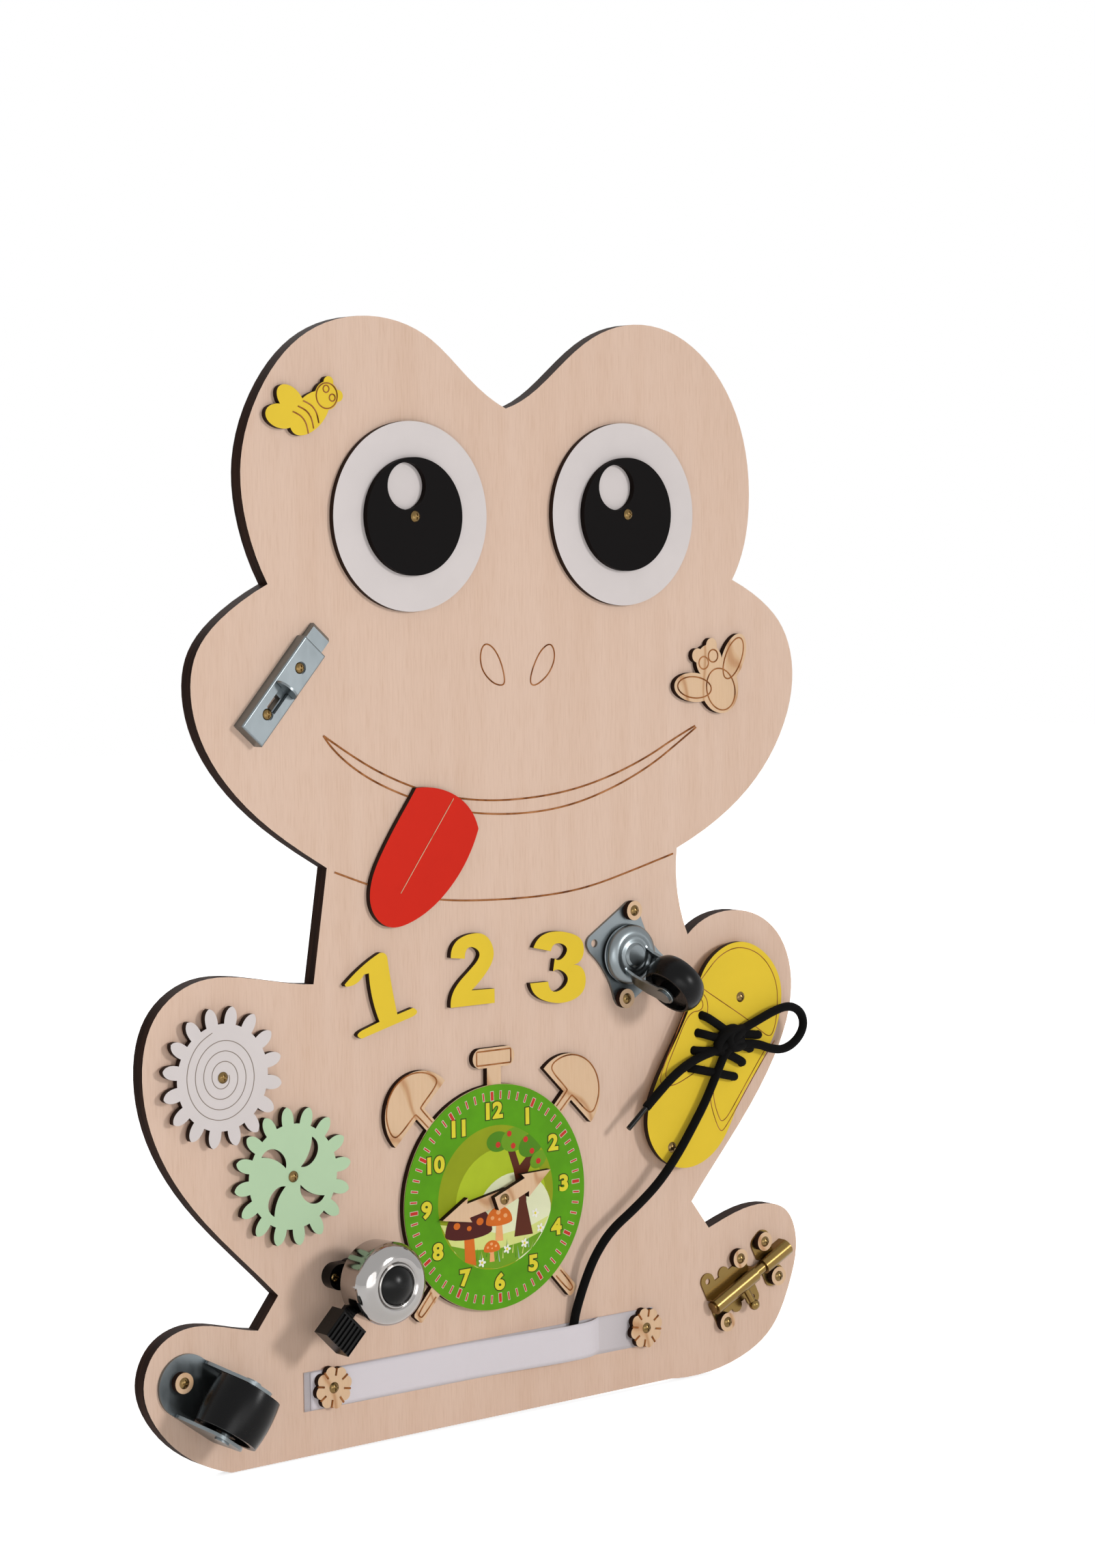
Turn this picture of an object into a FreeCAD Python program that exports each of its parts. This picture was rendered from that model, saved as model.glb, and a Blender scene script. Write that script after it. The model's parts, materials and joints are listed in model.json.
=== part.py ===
import FreeCAD, Part
import math
import os

# Frog-shaped wooden busy board for small children.
# Everything is drawn as it lies on the bench: X to the right, Y up the board, Z out of its front face,
# with the origin on the front face midway between the frog's eyes. stand() then stands the board up
# with its front towards -Y, its back face on Y = 0 and the origin at the middle of the back face.
# Sizes are in millimetres.

os.makedirs("parts", exist_ok=True)
V = FreeCAD.Vector

# Board and trim layers
BOARD_T = 10.0
TRIM_T = 4.0
EYES_X = 27.0
EYES_Z = 224.0
RUN_GAP = 0.3
BORE_GAP = 0.08

# Screws and wooden washers
HEAD_R = 3.5
HEAD_H = 1.9
SHANK_R = 1.75
SCREW_BITE = 8.0
WASHER_R = 6.3
WASHER_T = 4.0

# Eyes
EYE_HALF_SPACING = 84.3
EYE_R = 58.0
PUPIL_R = 36.0
PUPIL_T = 4.0
GLINT_R = 14.4
GLINT_REACH = 19.5
GLINT_ANGLES = (108.0, 118.0)

# Gears
GEAR_TEETH = 16
GEAR_TIP_R = 42.4
GEAR_ROOT_R = 32.0
GEAR_T = 4.0
GEAR_SPACER_T = 2.0
GEAR_SPACER_R = 6.0
TOOTH_HALF_W = 4.1
GEAR_WHITE_AT = (-230.1, -329.3)
GEAR_LINE_ANGLE = -53.0
GEAR_CENTRES = 81.4
GEAR_PHASE = -2.3
COMMA_R = 19.5

# Clock
CLOCK_AT = (-26.4, -426.7)
DIAL_R = 71.25
DIAL_T = 0.6
BELL_CARD_R = 27.0
BELL_CARD_REACH = 82.5
BELL_CARD_ANGLES = (134.3, 44.6)
CARD_STEM_W = 8.5
BUTTON_W = 33.0
BUTTON_H = 12.5
BUTTON_REACH = 88.5
BUTTON_STEM_W = 11.0
FOOT_W = 8.5
FOOT_REACH = 93.0
FOOT_ANGLES = (-132.0, -48.0)
HAND_T = 4.0
HAND_HALF_W = 4.6
HAND_HEAD_HALF_W = 8.0
HAND_HEAD_L = 22.0
HAND_TAIL = 6.5
MINUTE_L = 46.3
HOUR_L = 39.8
MINUTE_ANGLE = 190.7
HOUR_ANGLE = 21.2

# Slide latch on the left cheek
LATCH_AT = (-183.3, -102.7)
LATCH_ANGLE = 48.2
LATCH_L = 70.1
LATCH_W = 19.4
LATCH_H = 9.0
LATCH_SINK = 0.9
LATCH_SCREW_HALF = 17.9
SLOT_W = 7.0
SLOT_FROM = -15.0
SLOT_TO = 2.0
LATCH_BOLT_W = 14.6
LATCH_BOLT_H = 5.6
LATCH_BOLT_OUT = 11.8
LATCH_TRAVEL = 12.0
LATCH_BOLT_TAIL = -20.0
TAB_R = 8.0
TAB_T = 1.4

# Swivel caster
CASTER_AT = (84.5, -282.6)
CASTER_ANGLE = 32.1
CASTER_HOLES = (36.0, 44.0)
PLATE_T = 2.2
PLATE_EAR_R = 6.0
PLATE_HOLE_R = 2.6
RACE_R = 19.5
RACE_H = 8.0
FORK_ANGLE = -53.0
CASTER_TRAIL = 21.8
CASTER_AXLE_H = 34.1
CASTER_WHEEL_R = 20.0
CASTER_WHEEL_W = 17.0
FORK_T = 2.0
FORK_GAP = 1.2
AXLE_R = 3.0
KING_R = 6.0

# Furniture roller on the left foot
ROLLER_AT = (-238.3, -524.1)
ROLLER_ANGLE = -36.4
ROLLER_SCREW_BACK = 28.0
ROLLER_R = 21.2
ROLLER_W = 30.0
ROLLER_AXLE_H = 28.0
ROLLER_ARM_T = 2.0
ROLLER_ARM_GAP = 2.0
ROLLER_BASE_T = 2.0

# Bicycle bell
BELL_AT = (-138.5, -459.5)
BELL_R = 25.3
BELL_RIM_H = 28.0
BELL_SHOULDER_H = 47.0
BELL_TOP_H = 53.0
BELL_TOP_R = 17.0
BELL_WALL = 1.2
BELL_CAP_R = 12.0
BELL_HOUSING_R = 18.0
BELL_POST_R = 9.0
BELL_FOOT_L = 38.0
BELL_FOOT_W = 16.0
BELL_FOOT_T = 9.0
LEVER_ANGLE = 225.0
LEVER_PIVOT = 13.0
LEVER_T = 3.0
PAD_FROM = 29.0
PAD_TO = 48.0
PAD_W = 22.0
PAD_H = 14.0
PAD_RIBS = 7

# Barrel bolt on the right foot
BARREL_AT = (171.7, -514.3)
BARREL_ANGLE = 26.0
BARREL_HOLES = (28.7, 31.7)
KEEPER_OFFSET = 37.6
KEEPER_HOLES = 27.9
ROD_R = 4.0
ROD_H = 4.8
ROD_FROM = -21.0
ROD_TO = 46.0
ROD_TRAVEL = 12.0
BRASS_T = 1.2
ARCH_R = 5.7
EAR_R = 5.6
PIN_AT = 8.4
PIN_R = 2.2
PIN_L = 17.0
KNOB_R = 3.6

# Strap and its flowers
FLOWER_PETALS = 8
FLOWER_PETAL_R = 4.6
FLOWER_R = 13.3
STRAP_W = 24.0
STRAP_T = 1.0
STRAP_MID = -528.4
STRAP_LEFT = -172.0
STRAP_RIGHT = 104.0
RIBBON_T = 0.8
# Where the ribbon's underside bulges over the lace: (x, height over the strip below it)
RIBBON_CREST = ((-60.0, 0.0), (-46.0, 0.6), (-34.0, 1.5), (-22.0, 2.5), (-10.0, 3.6), (2.0, 4.9), (12.0, 6.0),
                (20.0, 6.75), (28.0, 7.1), (36.0, 7.15), (42.0, 6.8), (47.0, 5.9), (51.0, 4.3), (54.5, 2.2),
                (57.5, 0.4))
FLOWER_LEFT_AT = (STRAP_LEFT + 18.5, STRAP_MID + 1.0)
FLOWER_RIGHT_AT = (STRAP_RIGHT - 8.5, STRAP_MID + 0.2)

# Lacing shoe
SHOE_T = 4.0
SHOE_STANDOFF = 6.0
SHOE_SPACER_R = 7.0
SHOE_SCREWS = ((175.0, -318.0), (114.5, -411.0))
LACE_HOLE_R = 3.0
LACE_ROWS = (((141.0, -327.0), (-3.6, -11.2)), ((190.0, -344.5), (-7.5, -8.5)))
LACE_HOLES = 4
LACE_R = 2.5
KNOT_AT = (160.0, -345.0)
KNOT_SIZE = (13.0, 8.5, 5.0)
AGLET_L = 19.0
AGLET_R = 1.7

DIGIT_ONE = (
    ((-139.5, -282.3), (-138.8, -283.6)),
    ((-138.8, -283.6), (-133.0, -283.2), (-124.9, -277.4)),
    ((-124.9, -277.4), (-121.4, -276.9)),
    ((-121.4, -276.9), (-119.4, -291.0), (-113.9, -307.4)),
    ((-113.9, -307.4), (-126.9, -311.4)),
    ((-126.9, -311.4), (-130.5, -314.4), (-127.5, -316.5)),
    ((-127.5, -316.5), (-89.9, -306.9)),
    ((-89.9, -306.9), (-85.4, -303.8), (-88.5, -301.2)),
    ((-88.5, -301.2), (-100.4, -304.2)),
    ((-100.4, -304.2), (-104.4, -286.0), (-107.4, -268.4)),
    ((-107.4, -268.4), (-109.2, -265.9), (-113.5, -265.4)),
    ((-113.5, -265.4), (-127.0, -272.8), (-139.5, -282.3)),
)
DIGIT_TWO = (
    ((-59.5, -304.0), (-25.0, -304.0)),
    ((-25.0, -304.0), (-25.0, -295.0)),
    ((-25.0, -295.0), (-43.0, -294.5)),
    ((-43.0, -294.5), (-31.0, -284.0), (-25.3, -273.0), (-31.0, -261.5), (-44.0, -259.3),
     (-55.0, -263.5), (-58.9, -273.0)),
    ((-58.9, -273.0), (-48.0, -274.3)),
    ((-48.0, -274.3), (-42.5, -267.4), (-36.6, -271.5), (-42.5, -280.3), (-54.5, -290.5), (-59.5, -304.0)),
)
DIGIT_THREE = (
    ((6.5, -272.0), (13.0, -265.0), (23.0, -263.0), (36.0, -265.0), (46.0, -271.0), (47.0, -279.0), (39.0, -285.5)),
    ((39.0, -285.5), (48.0, -292.0), (47.0, -302.0), (35.0, -308.5), (17.0, -307.0), (7.0, -301.5), (3.4, -294.3)),
    ((3.4, -294.3), (18.0, -294.5)),
    ((18.0, -294.5), (25.5, -301.3), (33.9, -294.0), (28.5, -288.2), (22.0, -288.2)),
    ((22.0, -288.2), (23.5, -280.3)),
    ((23.5, -280.3), (30.5, -280.0), (33.5, -275.0), (28.0, -270.9), (20.5, -275.3)),
    ((20.5, -275.3), (6.5, -272.0)),
)
TONGUE = (
    ((-83.5, -166.0), (-63.0, -168.2), (-47.0, -176.5), (-35.9, -194.0)),
    ((-35.9, -194.0), (-46.0, -214.0), (-64.0, -234.0), (-88.0, -248.0), (-107.0, -249.5), (-118.0, -239.0),
     (-118.5, -222.0), (-110.0, -204.0), (-98.0, -186.0), (-83.5, -166.0)),
)
BOARD = (
    ((-7.0, 66.5), (16.0, 77.5), (38.0, 94.5), (62.0, 111.0), (97.0, 121.0), (132.0, 115.5), (168.0, 90.0),
     (190.0, 50.0), (195.0, 8.0), (190.0, -22.0), (179.6, -43.4)),
    ((179.6, -43.4), (203.0, -56.0), (224.0, -76.0), (232.5, -103.0), (224.0, -141.0), (196.0, -178.0),
     (161.0, -202.5), (129.5, -217.0)),
    ((129.5, -217.0), (129.6, -245.0), (138.2, -274.4)),
    ((138.2, -274.4), (155.0, -264.5), (176.0, -261.3), (200.0, -266.5), (219.0, -281.5), (229.0, -307.0),
     (226.5, -334.0), (212.0, -365.0), (183.0, -403.0), (139.4, -451.1)),
    ((139.4, -451.1), (154.2, -470.7)),
    ((154.2, -470.7), (178.0, -463.3), (204.0, -460.8), (223.0, -467.5), (232.0, -488.0), (226.0, -517.0),
     (209.0, -546.0), (184.0, -560.5), (120.0, -566.5)),
    ((120.0, -566.5), (-225.0, -568.5)),
    ((-225.0, -568.5), (-252.0, -556.5), (-276.0, -534.0), (-285.3, -508.0), (-275.0, -485.5), (-252.0, -476.6),
     (-228.0, -480.0), (-204.3, -485.6)),
    ((-204.3, -485.6), (-189.3, -466.4)),
    ((-189.3, -466.4), (-225.0, -431.5), (-252.0, -402.0), (-274.0, -365.0), (-282.0, -328.0), (-272.0, -290.0),
     (-247.0, -273.0), (-212.0, -272.0), (-159.6, -280.7)),
    ((-159.6, -280.7), (-152.5, -236.0), (-148.5, -211.0)),
    ((-148.5, -211.0), (-184.0, -188.5), (-221.0, -155.0), (-241.0, -118.0), (-239.5, -80.0), (-218.0, -56.5),
     (-187.8, -39.2)),
    ((-187.8, -39.2), (-202.5, -2.0), (-205.5, 32.0), (-191.0, 75.0), (-160.0, 108.0), (-115.0, 121.0),
     (-66.0, 109.0), (-36.0, 85.0), (-7.0, 66.5)),
)
SHOE = ((141.2, -301.0), (155.0, -286.7), (174.2, -281.4), (196.2, -290.0), (210.2, -310.0), (209.5, -333.0),
        (196.0, -359.0), (173.0, -388.0), (157.0, -413.0), (130.0, -426.0), (106.0, -418.0), (94.0, -396.0),
        (102.0, -367.0), (121.0, -337.5))

# Free stretches of the lace: each point is (x, y, height over the board's face)
LOOP_ROUTE = ((172.5, -338.5, 15.0), (185.0, -333.5, 16.5), (198.0, -328.5, 17.5), (211.0, -326.0, 18.0),
              (221.5, -331.0, 18.0), (224.5, -341.0, 18.0), (217.5, -350.5, 18.0), (206.0, -355.5, 17.5),
              (194.5, -353.5, 17.0), (183.5, -349.0, 16.0), (173.0, -348.5, 15.0))
LONG_ROUTE = ((155.5, -354.8, 15.0), (147.5, -368.0, 15.5), (138.5, -383.5, 15.5), (127.5, -398.5, 15.5),
              (114.5, -414.5, 16.0), (97.5, -431.5, 16.5), (77.0, -445.5, 16.5), (58.0, -457.5, 15.0),
              (46.8, -472.5, 12.5), (41.5, -488.0, 9.0), (38.2, -502.0, 6.0), (36.2, -512.0, 4.2),
              (34.8, -521.0, 3.8))
SHORT_ROUTE = ((148.0, -350.5, 15.0), (137.0, -352.5, 15.5), (125.0, -356.0, 16.0), (112.0, -362.0, 17.0),
               (99.5, -370.5, 17.5), (87.0, -381.0, 17.0))


def outline(stretches):
    """Closed wire of lines (two points) and smooth curves (more points), corner to corner."""
    edges = []
    for stretch in stretches:
        points = [V(x, y, 0) for x, y in stretch]
        if len(points) == 2:
            edges.append(Part.makeLine(points[0], points[1]))
        else:
            curve = Part.BSplineCurve()
            curve.interpolate(points)
            edges.append(curve.toShape())
    return Part.Wire(edges)


def smooth_loop(points):
    """Closed smooth wire through all the points."""
    curve = Part.BSplineCurve()
    curve.interpolate([V(x, y, 0) for x, y in points], True)
    return Part.Wire([curve.toShape()])


def polygon(points):
    return Part.makePolygon([V(x, y, 0) for x, y in points] + [V(points[0][0], points[0][1], 0)])


def slab(wire, bottom, thickness):
    """Plate of the wire's outline whose lower face is at the given height."""
    solid = Part.Face(wire).extrude(V(0, 0, thickness))
    solid.translate(V(0, 0, bottom))
    return solid


def rod(radius, height, x=0.0, y=0.0, bottom=0.0, axis=V(0, 0, 1)):
    return Part.makeCylinder(radius, height, V(x, y, bottom), axis)


def box(x0, x1, y0, y1, z0, z1):
    return Part.makeBox(x1 - x0, y1 - y0, z1 - z0, V(x0, y0, z0))


def at(shape, place, angle=0.0):
    """Copy of a shape turned by the angle about Z and moved to its place on the board."""
    moved = shape.copy()
    moved.rotate(V(0, 0, 0), V(0, 0, 1), angle)
    moved.translate(V(place[0], place[1], 0))
    return moved


def polar(place, radius, angle):
    turn = math.radians(angle)
    return (place[0] + radius * math.cos(turn), place[1] + radius * math.sin(turn))


def local(place, angle, u, v):
    """Board coordinates of a point given in a piece's own turned frame."""
    turn = math.radians(angle)
    return (place[0] + u * math.cos(turn) - v * math.sin(turn), place[1] + u * math.sin(turn) + v * math.cos(turn))


def fuse(shapes):
    result = shapes[0]
    for shape in shapes[1:]:
        result = result.fuse(shape)
    return result.removeSplitter()


def cut(shape, tools):
    for tool in tools:
        shape = shape.cut(tool)
    return shape


def round_end_bar(x0, x1, half_width, bottom, thickness):
    """Bar along X whose two ends are half circles round x0 and x1."""
    middle = box(x0, x1, -half_width, half_width, bottom, bottom + thickness)
    ends = [rod(half_width, thickness, x, 0, bottom) for x in (x0, x1)]
    return fuse([middle] + ends)


def hull_plate(circles, bottom, thickness):
    """Plate round a convex ring of circles (x, y, r), listed anticlockwise."""
    points = []
    for i, (x0, y0, r0) in enumerate(circles):
        x1, y1, r1 = circles[(i + 1) % len(circles)]
        gap = math.hypot(x1 - x0, y1 - y0)
        side = math.atan2(y1 - y0, x1 - x0) - math.acos((r0 - r1) / gap)
        points.append((x0 + r0 * math.cos(side), y0 + r0 * math.sin(side)))
        points.append((x1 + r1 * math.cos(side), y1 + r1 * math.sin(side)))
    body = slab(polygon(points), bottom, thickness)
    return fuse([body] + [rod(r, thickness, x, y, bottom) for x, y, r in circles])


def stand(shape):
    """Stand the board up: its face looks along -Y and its back lies on Y = 0."""
    upright = shape.copy()
    upright.translate(V(EYES_X, EYES_Z, BOARD_T))
    upright.rotate(V(0, 0, 0), V(1, 0, 0), 90)
    return upright


def save(name, shapes):
    if not isinstance(shapes, list):
        shapes = [shapes]
    solids = [stand(solid) for shape in shapes for solid in shape.Solids]
    whole = solids[0] if len(solids) == 1 else Part.makeCompound(solids)
    whole.exportStep("parts/" + name + ".step")


def screw(place, seat, sink=0.0):
    """Domed cross-head screw whose head sits at the given height."""
    x, y = place
    bottom = -SCREW_BITE
    shank = rod(SHANK_R, seat - sink - bottom, x, y, bottom)
    dome_r = (HEAD_R ** 2 + HEAD_H ** 2) / (2 * HEAD_H)
    ball = Part.makeSphere(dome_r, V(x, y, seat - sink + HEAD_H - dome_r))
    head = ball.common(rod(HEAD_R, HEAD_H, x, y, seat - sink))
    slot = 0.9
    reach = HEAD_R * 0.62
    deep = seat - sink + HEAD_H * 0.45
    cross = fuse([box(x - reach, x + reach, y - slot / 2, y + slot / 2, deep, deep + HEAD_H),
                  box(x - slot / 2, x + slot / 2, y - reach, y + reach, deep, deep + HEAD_H)])
    return fuse([shank, head]).cut(cross)


def pilot(place, bottom=-SCREW_BITE, height=60.0, radius=SHANK_R):
    return rod(radius, height, place[0], place[1], bottom)


def washer(place, seat):
    bored = rod(WASHER_R, WASHER_T, place[0], place[1], seat).cut(pilot(place))
    return bored


def tube(route, radius):
    """Round cord along straight runs joined by tangent arcs."""
    points = [V(*p) for p in route]
    edges = []
    radii = []
    start = points[0]
    for before, corner, after in zip(points, points[1:], points[2:]):
        back = (before - corner)
        ahead = (after - corner)
        run = min(back.Length, ahead.Length)
        back.normalize()
        ahead.normalize()
        turn = math.pi - back.getAngle(ahead)
        arc_r = 0.45 * run / math.tan(turn / 2)
        reach = 0.45 * run
        radii.append(arc_r)
        first = corner + back * reach
        last = corner + ahead * reach
        middle_way = (back + ahead)
        middle_way.normalize()
        centre = corner + middle_way * (arc_r / math.cos(turn / 2))
        middle = centre - middle_way * arc_r
        edges.append(Part.makeLine(start, first))
        edges.append(Part.Arc(first, middle, last).toShape())
        start = last
    edges.append(Part.makeLine(start, points[-1]))
    path = Part.Wire(edges)
    ring = Part.Wire([Part.makeCircle(radius, points[0], points[1] - points[0])])
    print("tube radii", [round(r, 1) for r in radii], "length", round(path.Length, 1))
    return path.makePipeShell([ring], True, False)


GEAR_GREEN_AT = polar(GEAR_WHITE_AT, GEAR_CENTRES, GEAR_LINE_ANGLE)
EYES = ((-EYE_HALF_SPACING, 0.0), (EYE_HALF_SPACING, 0.0))
GEARS = (GEAR_WHITE_AT, GEAR_GREEN_AT)
CASTER_SCREWS = [local(CASTER_AT, CASTER_ANGLE, su * CASTER_HOLES[0] / 2, su * CASTER_HOLES[1] / 2)
                 for su in (1, -1)]
ROLLER_SCREW = local(ROLLER_AT, ROLLER_ANGLE, -ROLLER_SCREW_BACK, 0)
LATCH_SCREWS = [local(LATCH_AT, LATCH_ANGLE, s * LATCH_SCREW_HALF, 0) for s in (1, -1)]
BARREL_SCREWS = [local(BARREL_AT, BARREL_ANGLE, s * BARREL_HOLES[0] / 2, s * BARREL_HOLES[1] / 2) for s in (1, -1)]
KEEPER_AT = local(BARREL_AT, BARREL_ANGLE, KEEPER_OFFSET, 0)
KEEPER_SCREWS = [local(KEEPER_AT, BARREL_ANGLE, 0, s * KEEPER_HOLES / 2) for s in (1, -1)]
FLOWERS = (FLOWER_LEFT_AT, FLOWER_RIGHT_AT)
BELL_SCREWS = [local(BELL_AT, 180, BELL_FOOT_L / 2 - 5, 0)]

EYE_TOP = TRIM_T
PUPIL_TOP = EYE_TOP + RUN_GAP + PUPIL_T
GEAR_TOP = GEAR_SPACER_T + RUN_GAP + GEAR_T
DIAL_TOP = TRIM_T + DIAL_T
MINUTE_Z = DIAL_TOP + RUN_GAP
HOUR_Z = MINUTE_Z + HAND_T + RUN_GAP
HANDS_TOP = HOUR_Z + HAND_T
SHOE_TOP = SHOE_STANDOFF + SHOE_T


def make_board():
    body = slab(outline(BOARD), -BOARD_T, BOARD_T)
    holes = list(EYES) + list(GEARS) + [CLOCK_AT] + CASTER_SCREWS + [ROLLER_SCREW] + LATCH_SCREWS
    holes += BARREL_SCREWS + KEEPER_SCREWS + list(FLOWERS) + list(SHOE_SCREWS) + BELL_SCREWS
    save("board", cut(body, [pilot(place) for place in holes]))


def make_eyes():
    for name, place, glint in zip(("left", "right"), EYES, GLINT_ANGLES):
        white = rod(EYE_R, TRIM_T, place[0], place[1]).cut(pilot(place))
        save("eye_white_" + name, white)
        pupil = rod(PUPIL_R, PUPIL_T, place[0], place[1], EYE_TOP + RUN_GAP)
        glint_at = polar(place, GLINT_REACH, glint)
        pupil = pupil.cut(pilot(glint_at, radius=GLINT_R))
        save("pupil_" + name, pupil.cut(pilot(place, radius=SHANK_R + BORE_GAP)))


def tooth(tip_r, root_r):
    """Petal-shaped tooth along +X."""
    length = tip_r - root_r
    points = [(root_r - 2.0, -TOOTH_HALF_W * 0.92), (root_r + length * 0.45, -TOOTH_HALF_W),
              (root_r + length * 0.86, -TOOTH_HALF_W * 0.55), (tip_r, 0.0)]
    upper = [(x, -y) for x, y in reversed(points)]
    return outline((points, upper, (upper[-1], points[0])))


def make_gear_blank(phase):
    step = 360.0 / GEAR_TEETH
    blank = rod(GEAR_ROOT_R, GEAR_T)
    teeth = []
    for i in range(GEAR_TEETH):
        one = slab(tooth(GEAR_TIP_R, GEAR_ROOT_R), 0, GEAR_T)
        teeth.append(at(one, (0, 0), phase + i * step))
    return fuse([blank] + teeth).cut(rod(SHANK_R + BORE_GAP, GEAR_T))


def comma():
    """Curved drop-shaped cut-out, wide at one end and pointed at the other."""
    return outline((
        ((7.0, 3.0), (17.0, 2.5), (22.5, 8.0), (21.0, 16.5)),
        ((21.0, 16.5), (16.5, 9.5), (7.0, 3.0)),
    ))


def make_gears():
    bottom = GEAR_SPACER_T + RUN_GAP
    white = make_gear_blank(GEAR_LINE_ANGLE + GEAR_PHASE)
    white.translate(V(0, 0, bottom))
    save("gear_white", at(white, GEAR_WHITE_AT))
    half_step = 180.0 / GEAR_TEETH
    green = make_gear_blank(GEAR_LINE_ANGLE + 180.0 + half_step - GEAR_PHASE)
    for i in range(4):
        hole = slab(comma(), -1, GEAR_T + 2)
        green = green.cut(at(hole, (0, 0), 20 + 90 * i))
    green.translate(V(0, 0, bottom))
    save("gear_green", at(green, GEAR_GREEN_AT))
    spacers = [rod(GEAR_SPACER_R, GEAR_SPACER_T, x, y).cut(pilot((x, y))) for x, y in GEARS]
    save("gear_spacers", spacers)


def make_clock():
    disc = rod(DIAL_R + 0.3, TRIM_T)
    pieces = [disc]
    for angle in BELL_CARD_ANGLES:
        half = rod(BELL_CARD_R, TRIM_T).common(box(0, 40, -40, 40, 0, TRIM_T))
        half.translate(V(BELL_CARD_REACH, 0, 0))
        stem = box(DIAL_R - 4, BELL_CARD_REACH + 2, -CARD_STEM_W / 2, CARD_STEM_W / 2, 0, TRIM_T)
        pieces.append(at(fuse([half, stem]), (0, 0), angle))
    button = round_end_bar(-(BUTTON_W - BUTTON_H) / 2, (BUTTON_W - BUTTON_H) / 2, BUTTON_H / 2, 0, TRIM_T)
    pieces.append(at(button, (0, BUTTON_REACH)))
    pieces.append(box(-BUTTON_STEM_W / 2, BUTTON_STEM_W / 2, DIAL_R - 4, BUTTON_REACH, 0, TRIM_T))
    for angle in FOOT_ANGLES:
        foot = box(DIAL_R - 4, FOOT_REACH, -FOOT_W / 2, FOOT_W / 2, 0, TRIM_T)
        foot = foot.makeFillet(2.0, [e for e in foot.Edges
                                     if abs(e.CenterOfMass.x - FOOT_REACH) < 0.01 and e.Length < TRIM_T + 0.1])
        pieces.append(at(foot, (0, 0), angle))
    save("clock_body", at(fuse(pieces).cut(rod(SHANK_R, TRIM_T)), CLOCK_AT))
    dial = rod(DIAL_R, DIAL_T, 0, 0, TRIM_T).cut(rod(SHANK_R, 20))
    save("clock_dial", at(dial, CLOCK_AT))
    for name, length, angle, bottom in (("minute_hand", MINUTE_L, MINUTE_ANGLE, MINUTE_Z),
                                        ("hour_hand", HOUR_L, HOUR_ANGLE, HOUR_Z)):
        neck = length - HAND_HEAD_L
        arrow = polygon([(-HAND_TAIL, -HAND_HALF_W), (neck + 1.5, -HAND_HALF_W), (neck, -HAND_HEAD_HALF_W),
                         (length, 0), (neck, HAND_HEAD_HALF_W), (neck + 1.5, HAND_HALF_W), (-HAND_TAIL, HAND_HALF_W)])
        hand = slab(arrow, bottom, HAND_T).cut(rod(SHANK_R + BORE_GAP, 30))
        save(name, at(hand, CLOCK_AT, angle))


def make_trim():
    save("tongue", slab(outline(TONGUE), 0, TRIM_T))
    save("digit_one", slab(outline(DIGIT_ONE), 0, TRIM_T))
    save("digit_two", slab(outline(DIGIT_TWO), 0, TRIM_T))
    save("digit_three", slab(outline(DIGIT_THREE), 0, TRIM_T))
    save("bee_plaque", at(bug(17.0, 10.0, 8.5, ((-3.0, 100.0), (-8.0, 128.0)), 15.0, 7.2), (-158.0, 62.0), 40.0))
    save("fly_plaque", at(bug(19.0, 16.0, 11.0, ((-4.0, 55.0), (-4.0, -55.0)), 23.0, 9.5), (164.0, -112.0), 118.0))


def ellipse_slab(rx, ry, x=0.0, y=0.0, angle=0.0):
    if rx > ry:
        ring = Part.Ellipse(V(0, 0, 0), rx, ry).toShape()
    else:
        ring = Part.Ellipse(V(0, ry, 0), V(rx, 0, 0), V(0, 0, 0)).toShape()
    return at(slab(Part.Wire([ring]), 0, TRIM_T), (x, y), angle)


def bug(body_l, body_w, head_r, wings, wing_l, wing_w):
    """Flying bug along +X: oval body, round head with two eye bumps, swept-back wings."""
    pieces = [ellipse_slab(body_l, body_w), rod(head_r, TRIM_T, body_l * 0.95, 0)]
    for side in (1, -1):
        pieces.append(rod(head_r * 0.42, TRIM_T, body_l * 0.95 + head_r * 0.75, side * head_r * 0.62))
    for root, angle in wings:
        far = polar((root, 0), body_w * 0.6 + wing_l * 0.6, angle)
        pieces.append(ellipse_slab(wing_l * 0.75, wing_w, far[0], far[1], angle))
    return fuse(pieces)


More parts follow.
